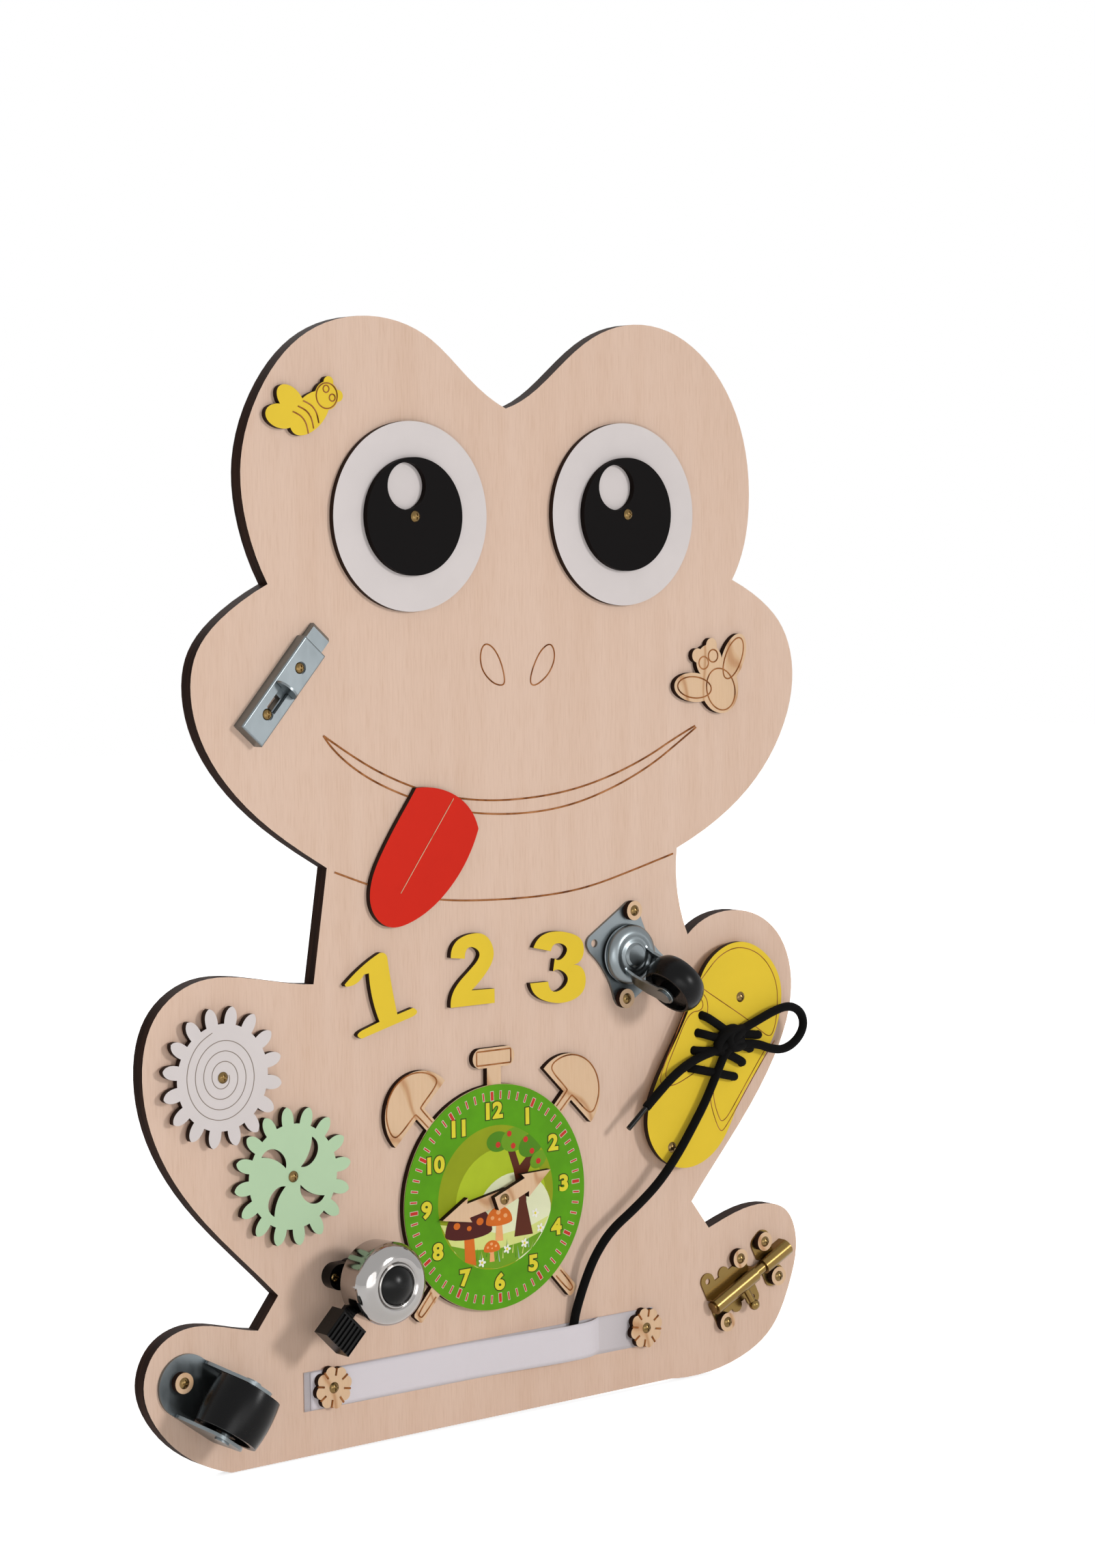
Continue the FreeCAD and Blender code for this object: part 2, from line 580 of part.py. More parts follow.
def make_latch():
    half_l = LATCH_L / 2
    half_w = LATCH_W / 2
    shell = box(-half_l, half_l, -half_w, half_w, 0, LATCH_H)
    shell = shell.makeFillet(1.2, [e for e in shell.Edges if abs(e.CenterOfMass.z - LATCH_H) < 0.01])
    bolt_w = LATCH_BOLT_W / 2
    tunnel_w = bolt_w + RUN_GAP
    tunnel_top = LATCH_BOLT_H + 0.6 + RUN_GAP
    tunnel = box(LATCH_BOLT_TAIL - LATCH_TRAVEL - RUN_GAP, half_l + 1, -tunnel_w, tunnel_w, -1, tunnel_top)
    slot = box(SLOT_FROM, SLOT_TO, -SLOT_W / 2, SLOT_W / 2, 0, LATCH_H + 1)
    dimples = [rod(HEAD_R + 0.4, 2.0, s * LATCH_SCREW_HALF, 0, LATCH_H - LATCH_SINK) for s in (1, -1)]
    bores = [rod(SHANK_R, LATCH_H + 2, s * LATCH_SCREW_HALF, 0, -1) for s in (1, -1)]
    save("latch_housing", at(cut(shell, [tunnel, slot] + dimples + bores), LATCH_AT, LATCH_ANGLE))
    tip = half_l + LATCH_BOLT_OUT
    bar = box(LATCH_BOLT_TAIL, tip, -bolt_w, bolt_w, 0.4, 0.4 + LATCH_BOLT_H)
    bar = bar.makeChamfer(2.5, [e for e in bar.Edges
                                if abs(e.CenterOfMass.x - tip) < 0.01 and abs(e.CenterOfMass.z - 0.4 - LATCH_BOLT_H) < 0.01])
    window = LATCH_TRAVEL + SHANK_R + RUN_GAP
    for s in (1, -1):
        middle = s * LATCH_SCREW_HALF
        run = box(middle - SHANK_R - 0.5, middle + window, -SHANK_R - 0.5, SHANK_R + 0.5, 0, LATCH_BOLT_H + 1)
        bar = bar.cut(run)
    tab_x = SLOT_TO - RUN_GAP - TAB_T
    disc = rod(TAB_R, TAB_T, 0, 0, 0)
    disc.rotate(V(0, 0, 0), V(0, 1, 0), 90)
    disc.translate(V(tab_x, 0, LATCH_H + 0.5))
    tab = disc.common(box(tab_x, tab_x + TAB_T, -TAB_R, TAB_R, LATCH_H + 0.5, LATCH_H + 20))
    neck = box(tab_x, tab_x + TAB_T, -SLOT_W / 2 + 0.4, SLOT_W / 2 - 0.4, LATCH_BOLT_H, LATCH_H + 0.6)
    save("latch_bolt", at(fuse([bar, tab, neck]), LATCH_AT, LATCH_ANGLE))


def make_caster():
    half_u = CASTER_HOLES[0] / 2
    half_v = CASTER_HOLES[1] / 2
    corners = [(half_u, -half_v), (half_u, half_v), (-half_u, half_v), (-half_u, -half_v)]
    plate = hull_plate([(x, y, PLATE_EAR_R) for x, y in corners], 0, PLATE_T)
    scoop_r = 60.0
    for x, y in ((half_u + PLATE_EAR_R + scoop_r - 3.0, 0), (-half_u - PLATE_EAR_R - scoop_r + 3.0, 0)):
        plate = plate.cut(rod(scoop_r, PLATE_T, x, y))
    plate = plate.cut(fuse([rod(SHANK_R, 5, half_u, half_v, -1), rod(SHANK_R, 5, -half_u, -half_v, -1)]))
    plate = plate.cut(fuse([rod(PLATE_HOLE_R, 5, -half_u, half_v, -1), rod(PLATE_HOLE_R, 5, half_u, -half_v, -1)]))
    race = Part.makeCone(RACE_R - 1.0, RACE_R - 4.0, RACE_H - PLATE_T - 2.5, V(0, 0, PLATE_T))
    king = rod(KING_R, 6.0, 0, 0, RACE_H - 2.5)
    head = Part.makeCone(KING_R + 2.5, KING_R + 0.5, 2.2, V(0, 0, RACE_H + FORK_T + RUN_GAP))
    base = fuse([plate, race, king, rod(KING_R, 4.0 + FORK_T, 0, 0, RACE_H - 2.5), head])
    save("caster_plate", at(base, CASTER_AT, CASTER_ANGLE))
    inner = CASTER_WHEEL_W / 2 + FORK_GAP
    outer = inner + FORK_T
    top = RACE_H
    crown = rod(RACE_R - 1.5, FORK_T, 0, 0, top)
    skirt = rod(RACE_R, FORK_T + 3.5, 0, 0, top - 3.5).cut(rod(RACE_R - FORK_T, 3.5, 0, 0, top - 3.5))
    legs = []
    for side in (1, -1):
        leg = hull_plate([(2.0, top + 2.5, 2.5), (15.0, top + 2.5, 2.5), (CASTER_TRAIL, CASTER_AXLE_H, 7.0)],
                         0, FORK_T)
        leg.rotate(V(0, 0, 0), V(1, 0, 0), 90)
        leg.translate(V(0, side * (inner + FORK_T / 2) + FORK_T / 2, 0))
        legs.append(leg)
    fork = fuse([crown, skirt] + legs)
    keep_clear = rod(CASTER_WHEEL_R + 1.0, 2 * inner, CASTER_TRAIL, inner, CASTER_AXLE_H, V(0, -1, 0))
    fork = fork.cut(keep_clear)
    fork = fork.cut(rod(KING_R + BORE_GAP, 20, 0, 0, 0))
    axle = rod(AXLE_R, 2 * outer, CASTER_TRAIL, outer, CASTER_AXLE_H, V(0, -1, 0))
    heads = [rod(AXLE_R + 2.2, 1.4, CASTER_TRAIL, outer + 1.4, CASTER_AXLE_H, V(0, -1, 0)),
             rod(AXLE_R + 2.2, 1.4, CASTER_TRAIL, -outer, CASTER_AXLE_H, V(0, -1, 0))]
    save("caster_fork", at(fork.cut(axle), CASTER_AT, FORK_ANGLE))
    save("caster_axle", at(fuse([axle] + heads), CASTER_AT, FORK_ANGLE))
    wheel = wheel_solid(CASTER_WHEEL_R, CASTER_WHEEL_W, 6.0)
    wheel.translate(V(CASTER_TRAIL, 0, CASTER_AXLE_H))
    save("caster_wheel", at(wheel, CASTER_AT, FORK_ANGLE))


def wheel_solid(radius, width, crown):
    """Wheel about the Y axis with a rounded tread, recessed sides and a hub."""
    half = width / 2
    hub_r = AXLE_R + 3.5
    web = half - 3.0
    bore = AXLE_R + BORE_GAP
    profile = [V(bore, -half, 0), V(hub_r, -half, 0), V(hub_r, -web, 0), V(radius * 0.72, -web, 0),
               V(radius * 0.78, -half, 0), V(radius - crown * 0.5, -half, 0)]
    edges = [Part.makeLine(a, b) for a, b in zip(profile, profile[1:])]
    edges.append(Part.Arc(profile[-1], V(radius, 0, 0), V(radius - crown * 0.5, half, 0)).toShape())
    upper = [V(p.x, -p.y, 0) for p in reversed(profile)]
    edges += [Part.makeLine(a, b) for a, b in zip(upper, upper[1:])]
    edges.append(Part.makeLine(upper[-1], profile[0]))
    return Part.Face(Part.Wire(edges)).revolve(V(0, 0, 0), V(0, 1, 0), 360)


def make_roller():
    inner = ROLLER_W / 2 + ROLLER_ARM_GAP
    outer = inner + ROLLER_ARM_T
    back = -ROLLER_SCREW_BACK
    base = fuse([rod(outer, ROLLER_BASE_T, back + 5, 0), box(back + 5, 12, -outer, outer, 0, ROLLER_BASE_T)])
    opening = box(-6, 13, -inner, inner, -1, ROLLER_BASE_T + 1)
    opening = opening.fuse(rod(ROLLER_R + 1.5, 2 * inner, 0, inner, ROLLER_AXLE_H, V(0, -1, 0)))
    arms = []
    for side in (1, -1):
        arm = hull_plate([(back + 12, 4.0, 4.0), (10.0, 4.0, 4.0), (6.0, ROLLER_AXLE_H, 8.0),
                          (-2.0, ROLLER_AXLE_H, 8.0)], 0, ROLLER_ARM_T)
        arm.rotate(V(0, 0, 0), V(1, 0, 0), 90)
        arm.translate(V(0, side * (inner + ROLLER_ARM_T / 2) + ROLLER_ARM_T / 2, 0))
        arms.append(arm)
    bracket = fuse([base] + arms).cut(opening)
    axle = rod(AXLE_R, 2 * outer, 0, outer, ROLLER_AXLE_H, V(0, -1, 0))
    heads = [rod(AXLE_R + 1.8, 1.2, 0, outer + 1.2, ROLLER_AXLE_H, V(0, -1, 0)),
             rod(AXLE_R + 1.8, 1.2, 0, -outer, ROLLER_AXLE_H, V(0, -1, 0))]
    bracket = bracket.cut(axle).cut(rod(SHANK_R, 10, back, 0, -1))
    save("roller_bracket", at(bracket, ROLLER_AT, ROLLER_ANGLE))
    save("roller_axle", at(fuse([axle] + heads), ROLLER_AT, ROLLER_ANGLE))
    wheel = wheel_solid(ROLLER_R, ROLLER_W, 2.5)
    wheel.translate(V(0, 0, ROLLER_AXLE_H))
    save("roller_wheel", at(wheel, ROLLER_AT, ROLLER_ANGLE))


def make_bell():
    foot = round_end_bar(-BELL_FOOT_L / 2 + 8, BELL_FOOT_L / 2 - 8, BELL_FOOT_W / 2, 0, BELL_FOOT_T)
    foot = at(foot, (0, 0), 180)
    post = rod(BELL_POST_R, BELL_RIM_H - 8, 0, 0, 0)
    housing = rod(BELL_HOUSING_R, 5.0, 0, 0, BELL_RIM_H - 9)
    stalk = rod(3.0, BELL_TOP_H - 1.0 - BELL_RIM_H + 4.0, 0, 0, BELL_RIM_H - 4)
    pivot = polar((0, 0), LEVER_PIVOT, LEVER_ANGLE)
    pin = rod(2.0, LEVER_T + 2 * RUN_GAP, pivot[0], pivot[1], BELL_RIM_H - 4)
    lid = rod(BELL_HOUSING_R, 2.0, 0, 0, BELL_RIM_H - 4 + LEVER_T + 2 * RUN_GAP)
    base = fuse([foot, post, housing, stalk, pin, lid])
    base = base.cut(rod(SHANK_R, 30, -BELL_FOOT_L / 2 + 5, 0, -1))
    base = base.cut(rod(HEAD_R + 0.5, 6, -BELL_FOOT_L / 2 + 5, 0, BELL_FOOT_T - 2.5))
    save("bell_base", at(base, BELL_AT))
    save("bell_dome", at(bell_dome(), BELL_AT))
    cap_r = BELL_CAP_R
    cap_h = 5.0
    dome_r = (cap_r ** 2 + cap_h ** 2) / (2 * cap_h)
    seat = BELL_TOP_H - 1.0
    cap = Part.makeSphere(dome_r, V(0, 0, seat + cap_h - dome_r)).common(rod(cap_r, cap_h, 0, 0, seat))
    save("bell_cap", at(cap, BELL_AT))
    arm_z = BELL_RIM_H - 4 + RUN_GAP
    arm = round_end_bar(LEVER_PIVOT, PAD_FROM + 4, 4.5, arm_z, LEVER_T)
    pad = box(PAD_FROM, PAD_TO, -PAD_W / 2, PAD_W / 2, arm_z, arm_z + PAD_H)
    pad = pad.makeFillet(1.5, [e for e in pad.Edges if abs(e.CenterOfMass.z - arm_z - PAD_H) < 0.01])
    rib_pitch = PAD_W / PAD_RIBS
    ribs = []
    for i in range(PAD_RIBS):
        middle = -PAD_W / 2 + rib_pitch * (i + 0.5)
        ribs.append(box(PAD_FROM + 2, PAD_TO + 1, middle - rib_pitch * 0.25, middle + rib_pitch * 0.25,
                        arm_z + PAD_H - 1.2, arm_z + PAD_H + 1))
    lever = cut(fuse([arm, pad]), ribs)
    lever = lever.cut(rod(2.0 + BORE_GAP, 20, LEVER_PIVOT, 0, arm_z - 5))
    lever = lever.cut(rod(3.0 + 5.5, 20, 0, 0, arm_z - 5))
    save("bell_lever", at(lever, BELL_AT, LEVER_ANGLE))


def bell_dome():
    """Chrome bell turned in one piece: straight skirt, rounded shoulder and a stepped crown."""
    wall = BELL_WALL
    r = BELL_R
    knee = V(r, 0, BELL_SHOULDER_H - 3)
    rim = V(r - 0.6, 0, BELL_RIM_H)
    crown = V(BELL_TOP_R, 0, BELL_TOP_H)
    step = V(BELL_TOP_R - 2.0, 0, BELL_TOP_H)
    inner_step = V(BELL_TOP_R - 3.5, 0, BELL_TOP_H - 1.0)
    hole = V(3.0, 0, BELL_TOP_H - 1.0)
    hole_in = V(3.0, 0, BELL_TOP_H - 1.0 - wall)
    crown_in = V(BELL_TOP_R - 0.8, 0, BELL_TOP_H - 1.0 - wall)
    knee_in = V(r - wall, 0, BELL_SHOULDER_H - 3)
    rim_in = V(r - 0.6 - wall, 0, BELL_RIM_H)
    bulge = V(r - 2.2, 0, BELL_SHOULDER_H + 2.2)
    bulge_in = V(r - 2.2 - wall * 0.8, 0, BELL_SHOULDER_H + 2.2 - wall * 0.8)
    edges = [Part.makeLine(rim, knee), Part.Arc(knee, bulge, crown).toShape(), Part.makeLine(crown, step),
             Part.makeLine(step, inner_step), Part.makeLine(inner_step, hole), Part.makeLine(hole, hole_in),
             Part.makeLine(hole_in, crown_in), Part.Arc(crown_in, bulge_in, knee_in).toShape(),
             Part.makeLine(knee_in, rim_in), Part.makeLine(rim_in, rim)]
    return Part.Face(Part.Wire(edges)).revolve(V(0, 0, 0), V(0, 0, 1), 360)


def arch(length_from, length_to, outer_r):
    """Pressed arch along X that holds the rod against the board."""
    tunnel = rod(outer_r, length_to - length_from, length_from, 0, ROD_H, V(1, 0, 0))
    sides = box(length_from, length_to, -outer_r, outer_r, 0, ROD_H)
    return fuse([tunnel, sides]).common(box(length_from, length_to, -outer_r, outer_r, 0, 40))


def rod_room(length_from, length_to, radius):
    bore = rod(radius, length_to - length_from, length_from, 0, ROD_H, V(1, 0, 0))
    sides = box(length_from, length_to, -radius, radius, -1, ROD_H)
    return fuse([bore, sides])


def make_barrel_bolt():
    hu = BARREL_HOLES[0] / 2
    hv = BARREL_HOLES[1] / 2
    corners = [(hu, -hv), (hu, hv), (-hu, hv), (-hu, -hv)]
    ears = [rod(EAR_R, BRASS_T, x, y) for x, y in corners]
    web = box(-hu - EAR_R, hu + EAR_R, -hv + 3.0, hv - 3.0, 0, BRASS_T)
    lobes = [rod(4.5, BRASS_T, 0, s * (hv - 3.0)) for s in (1, -1)]
    strips = [box(s * hu - EAR_R, s * hu + EAR_R, -hv, hv, 0, BRASS_T) for s in (1, -1)]
    guide_from = -hu - EAR_R
    guide_to = hu + EAR_R
    body = fuse([web] + lobes + strips + ears + [arch(guide_from, guide_to, ARCH_R)])
    body = body.cut(rod_room(guide_from - 1, guide_to + 1, ROD_R + BORE_GAP))
    slot = box(PIN_AT - ROD_TRAVEL - PIN_R - 0.5, PIN_AT + PIN_R + 0.5, -ARCH_R - 1, 0, ROD_H - 2.0, ROD_H + 3.6)
    holes = [rod(SHANK_R, 4, hu, hv, -1), rod(SHANK_R, 4, -hu, -hv, -1),
             rod(PLATE_HOLE_R - 0.6, 4, -hu, hv, -1), rod(PLATE_HOLE_R - 0.6, 4, hu, -hv, -1)]
    save("bolt_plate", at(cut(body, [slot] + holes), BARREL_AT, BARREL_ANGLE))
    bar = rod(ROD_R, ROD_TO - ROD_FROM, ROD_FROM, 0, ROD_H, V(1, 0, 0))
    tilt = math.radians(12.0)
    reach = V(0, -math.cos(tilt), math.sin(tilt))
    pin = Part.makeCylinder(PIN_R, PIN_L, V(PIN_AT, 0, ROD_H), reach)
    knob = Part.makeSphere(KNOB_R, V(PIN_AT, 0, ROD_H) + reach * PIN_L)
    save("bolt_rod", at(fuse([bar, pin, knob]), BARREL_AT, BARREL_ANGLE))
    keeper_ear = KEEPER_HOLES / 2
    flat = fuse([box(-9.0, 6.0, -keeper_ear, keeper_ear, 0, BRASS_T)]
                + [hull_plate([(-4.0, s * keeper_ear, 5.0), (1.5, s * keeper_ear, 6.5)], 0, BRASS_T)
                   for s in (1, -1)]
                + [arch(-9.0, 15.0, ARCH_R)])
    flat = flat.cut(rod_room(-10, 16, ROD_R + RUN_GAP))
    flat = cut(flat, [rod(SHANK_R, 4, 0, s * keeper_ear, -1) for s in (1, -1)])
    save("bolt_keeper", at(flat, KEEPER_AT, BARREL_ANGLE))


def flower(place, bottom):
    petals = []
    step = 360.0 / FLOWER_PETALS
    for i in range(FLOWER_PETALS):
        petal = round_end_bar(4.0, FLOWER_R - FLOWER_PETAL_R * 0.9, FLOWER_PETAL_R * 0.9, bottom, TRIM_T)
        petals.append(at(petal, place, i * step + 12.0))
    return fuse(petals).cut(pilot(place))


def make_strap():
    low = STRAP_MID - STRAP_W / 2
    high = STRAP_MID + STRAP_W / 2
    base = box(STRAP_LEFT, STRAP_RIGHT, low, high, 0, STRAP_T)
    save("strap_base", cut(base, [pilot(place) for place in FLOWERS]))
    top = STRAP_T + RIBBON_T
    under = [V(STRAP_LEFT + 4.0, 0, STRAP_T)] + [V(x, 0, STRAP_T + h) for x, h in RIBBON_CREST]
    over = []
    for i, point in enumerate(under):
        along = under[min(i + 1, len(under) - 1)] - under[max(i - 1, 0)]
        along.normalize()
        over.append(point + V(-along.z, 0, along.x) * RIBBON_T)
    ring = under + over[::-1] + [under[0]]
    ribbon = Part.Face(Part.makePolygon(ring)).extrude(V(0, STRAP_W - 1.0, 0))
    ribbon.translate(V(0, low + 0.5, 0))
    save("strap_ribbon", ribbon.cut(pilot(FLOWER_LEFT_AT)))
    save("flower_left", flower(FLOWER_LEFT_AT, top))
    save("flower_right", flower(FLOWER_RIGHT_AT, STRAP_T))


def lace_holes():
    places = []
    for (x, y), (dx, dy) in LACE_ROWS:
        places += [(x + i * dx, y + i * dy) for i in range(LACE_HOLES)]
    return places


def knot_solid():
    ball = Part.makeSphere(1.0)
    matrix = FreeCAD.Matrix()
    matrix.scale(KNOT_SIZE[0], KNOT_SIZE[1], KNOT_SIZE[2])
    ball = ball.transformGeometry(matrix)
    ball.rotate(V(0, 0, 0), V(0, 0, 1), -20.0)
    ball.translate(V(KNOT_AT[0], KNOT_AT[1], SHOE_TOP + KNOT_SIZE[2] + 0.2))
    return ball


def make_shoe():
    plate = slab(smooth_loop(SHOE), SHOE_STANDOFF, SHOE_T)
    plate = cut(plate, [pilot(place) for place in SHOE_SCREWS])
    plate = cut(plate, [pilot(place, radius=LACE_HOLE_R) for place in lace_holes()])
    save("shoe_plate", plate)
    save("shoe_spacers", [rod(SHOE_SPACER_R, SHOE_STANDOFF, x, y).cut(pilot((x, y))) for x, y in SHOE_SCREWS])
    knot = knot_solid()
    strands = []
    for x, y in lace_holes():
        toward = V(KNOT_AT[0] - x, KNOT_AT[1] - y, 0)
        toward.normalize()
        rise = SHOE_TOP + LACE_R + 0.5
        stem = rod(LACE_R, rise - SHOE_STANDOFF - 0.5, x, y, SHOE_STANDOFF + 0.5)
        bend = Part.makeSphere(LACE_R, V(x, y, rise))
        reach = math.hypot(KNOT_AT[0] - x, KNOT_AT[1] - y)
        over = Part.makeCylinder(LACE_R, reach, V(x, y, rise), V(toward.x, toward.y, 0.03))
        strands.append(fuse([stem, bend, over]))
    lacing = fuse([knot] + strands)
    save("lace_lacing", lacing)
    save("lace_loop", tube(LOOP_ROUTE, LACE_R).cut(lacing))
    save("lace_long_end", tube(LONG_ROUTE, LACE_R).cut(lacing))
    save("lace_short_end", tube(SHORT_ROUTE, LACE_R).cut(lacing))
    last = V(*SHORT_ROUTE[-1])
    way = last - V(*SHORT_ROUTE[-2])
    way.normalize()
    save("lace_aglet", Part.makeCylinder(AGLET_R, AGLET_L, last, way))


def make_fasteners():
    pivots = [screw(place, PUPIL_TOP + RUN_GAP) for place in EYES]
    pivots += [screw(place, GEAR_TOP + RUN_GAP) for place in GEARS]
    pivots.append(screw(CLOCK_AT, HANDS_TOP + RUN_GAP))
    save("pivot_screws", pivots)
    washed = [(place, PLATE_T) for place in CASTER_SCREWS]
    washed.append((ROLLER_SCREW, ROLLER_BASE_T))
    washed += [(place, BRASS_T) for place in BARREL_SCREWS + KEEPER_SCREWS]
    save("wood_washers", [washer(place, seat) for place, seat in washed])
    fixed = [screw(place, seat + WASHER_T) for place, seat in washed]
    fixed += [screw(place, LATCH_H, LATCH_SINK) for place in LATCH_SCREWS]
    fixed.append(screw(FLOWER_LEFT_AT, STRAP_T + RIBBON_T + TRIM_T))
    fixed.append(screw(FLOWER_RIGHT_AT, STRAP_T + TRIM_T))
    fixed += [screw(place, SHOE_TOP) for place in SHOE_SCREWS]
    fixed += [screw(place, BELL_FOOT_T, 2.5) for place in BELL_SCREWS]
    save("fixing_screws", fixed)


make_board()
make_eyes()
make_gears()
make_clock()
make_trim()
make_latch()
make_caster()
make_roller()
make_bell()
make_barrel_bolt()
make_strap()
make_shoe()
make_fasteners()
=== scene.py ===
import json
import math
import bpy
import bmesh
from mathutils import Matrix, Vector


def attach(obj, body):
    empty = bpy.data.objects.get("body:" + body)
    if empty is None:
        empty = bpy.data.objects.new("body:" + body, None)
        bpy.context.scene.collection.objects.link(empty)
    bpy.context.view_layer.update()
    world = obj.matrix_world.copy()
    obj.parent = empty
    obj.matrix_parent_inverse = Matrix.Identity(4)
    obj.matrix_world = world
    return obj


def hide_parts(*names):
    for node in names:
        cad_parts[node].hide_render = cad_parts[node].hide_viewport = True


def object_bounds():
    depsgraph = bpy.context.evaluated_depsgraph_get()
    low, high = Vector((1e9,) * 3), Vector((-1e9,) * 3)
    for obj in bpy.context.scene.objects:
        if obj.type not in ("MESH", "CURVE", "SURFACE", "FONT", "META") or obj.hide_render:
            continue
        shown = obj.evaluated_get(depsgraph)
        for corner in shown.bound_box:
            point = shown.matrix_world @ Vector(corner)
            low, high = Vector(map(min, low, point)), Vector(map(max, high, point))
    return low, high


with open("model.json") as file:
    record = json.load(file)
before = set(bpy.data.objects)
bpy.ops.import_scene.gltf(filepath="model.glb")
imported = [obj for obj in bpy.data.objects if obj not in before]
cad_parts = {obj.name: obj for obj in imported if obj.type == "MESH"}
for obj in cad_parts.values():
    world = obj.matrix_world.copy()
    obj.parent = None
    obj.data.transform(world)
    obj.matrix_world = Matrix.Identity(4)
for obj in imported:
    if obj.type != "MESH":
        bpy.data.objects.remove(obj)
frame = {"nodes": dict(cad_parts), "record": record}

# Looks of the frog-shaped busy board. Drawing coordinates are millimetres on the board's face,
# X right and Y up from midway between the eyes, with the height over the face as the third value.
cad_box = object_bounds()
nodes = frame["nodes"]
MM = 0.001
ORIGIN_X = 27.0
ORIGIN_Z = 224.0
BOARD_T = 10.0
TRIM = 4.0
SHOE_TOP = 10.0
TURNED_STEPS = 96

# Camera: the photograph's view, its angle and its lens
CAMERA_AT = (-1.3526, -1.7730, 0.2153)
CAMERA_TURN = (85.918, 0.705, -38.546)
CAMERA_LENS = 82.0

# Light: strength of the world, the floor, and the lamps' places, widths in metres and watts
AMBIENT = 0.34
FLOOR_LIFT = 0.76
FLOOR_SIZE = 6.0
FLOOR_GREY = 0.94
LAMPS = {
    "key": {"at": (1.75, -4.6, 1.15), "size": 1.0, "power": 98.0},
    "fill": {"at": (-2.2, -3.4, -0.1), "size": 2.2, "power": 20.0},
    "back": {"at": (0.9, 3.6, 2.6), "size": 2.0, "power": 62.0},
    "low_fill": {"at": (-0.45, -1.0, -0.33), "size": 1.0, "power": 4.6},
}

# Engraving: half widths of its lines
LINE_PETAL = 0.7
LINE_BOLD = 0.65
LINE_TRIM = 0.5
LINE_FINE = 0.45
LINE_SEAM = 0.32
LINE_CREASE = 0.3
LINE_SPIRAL = 0.28

# White gear's spiral
GEAR_WHITE = (-230.1, -329.3)
GEAR_FACE = 6.3
SPIRAL_START = 15.0
SPIRAL_TURNS = 3.75
SPIRAL_STRETCH = (0.96, 1.02)
SPIRAL_STEPS = 90
SPIRAL_INNER = 4.6
SPIRAL_OUTER = 27.6

# Clock
CLOCK = (-26.4, -426.7)
DIAL_FACE = 4.6
# Half width and length of a tick
TICK_LONG = (1.05, 5.6)
TICK_SHORT = (0.48, 4.8)
TICK_OUTER = 67.0
TICK_EDGE = 0.36
TICK_T = 0.06
NUMBER_R = 54.5
NUMBER_SIZE = 13.8
NUMBER_WIDEN = 1.14
NUMBER_T = 0.05
DIAL_SKEW = 2.0
PICTURE_R = 46.0
LAYER_STEP = 0.008
CARD_R = 24.0
CARD_BASE = 85.5
CARD_SWEEP = 82.0
CARD_STEPS = 12
CARD_ANGLES = (134.3, 44.6)
FOOT_ANGLES = (-132.0, -48.0)
STEM_HALF = 2.2
STEM_IN = 72.0
FOOT_OUTLINE = ((74.0, -2.4), (89.5, -2.4), (90.5, 0.0), (89.5, 2.4), (74.0, 2.4))
BUTTON_UP = 88.5
BUTTON_HALF = (13.5, 4.4)

# Bug plaques: where each is and how far it is turned
BEE_AT = (-158.0, 62.0)
BEE_TURN = 40.0
FLY_AT = (164.0, -112.0)
FLY_TURN = 118.0
FLY_WING_TURN = 55.0

# Strap, its flowers and its ribbon
STRAP_ENDS = (-172.0, 104.0)
STRAP_MID = -528.4
STRAP_HALF = 12.0
STRAP_T = 1.0
RIBBON_HALF = 11.5
RIBBON_T = 0.8
RIBBON_SKEW = 1.2
RIBBON_WAVES = 0.12
FLOWERS = {"left": (-153.5, -527.4, 5.8), "right": (95.5, -528.2, 5.0)}
PETALS = 8
PETAL_RADII = (7.4, 9.6, 12.2)
PETAL_TURN = 34.5
# Underside of the ribbon: (x, height), lying on the base strip and rising over the lace
RIBBON_CREST = ((-168.0, 1.05), (-110.0, 1.05), (-60.0, 1.05), (-46.0, 1.65), (-34.0, 2.55), (-22.0, 3.55),
                (-10.0, 4.65), (2.0, 5.95), (12.0, 7.05), (20.0, 7.8), (28.0, 8.15), (36.0, 8.2),
                (42.0, 7.85), (47.0, 6.95), (51.0, 5.35), (54.5, 3.25), (57.5, 1.45))

# Bell's bead
BELL_AT = (-138.5, -459.5)
BEAD_R = 12.9
BEAD_H = 52.3
BEAD_T = 0.8

# Swivel caster's fork
CASTER = (84.5, -282.6)
FORK_TURN = -53.0
FORK_TOP = 8.0
FORK_SHEET = 2.0
FORK_EYE_R = 6.8
AXLE_X = 21.8
AXLE_H = 34.1
ARM_INNER = 9.7

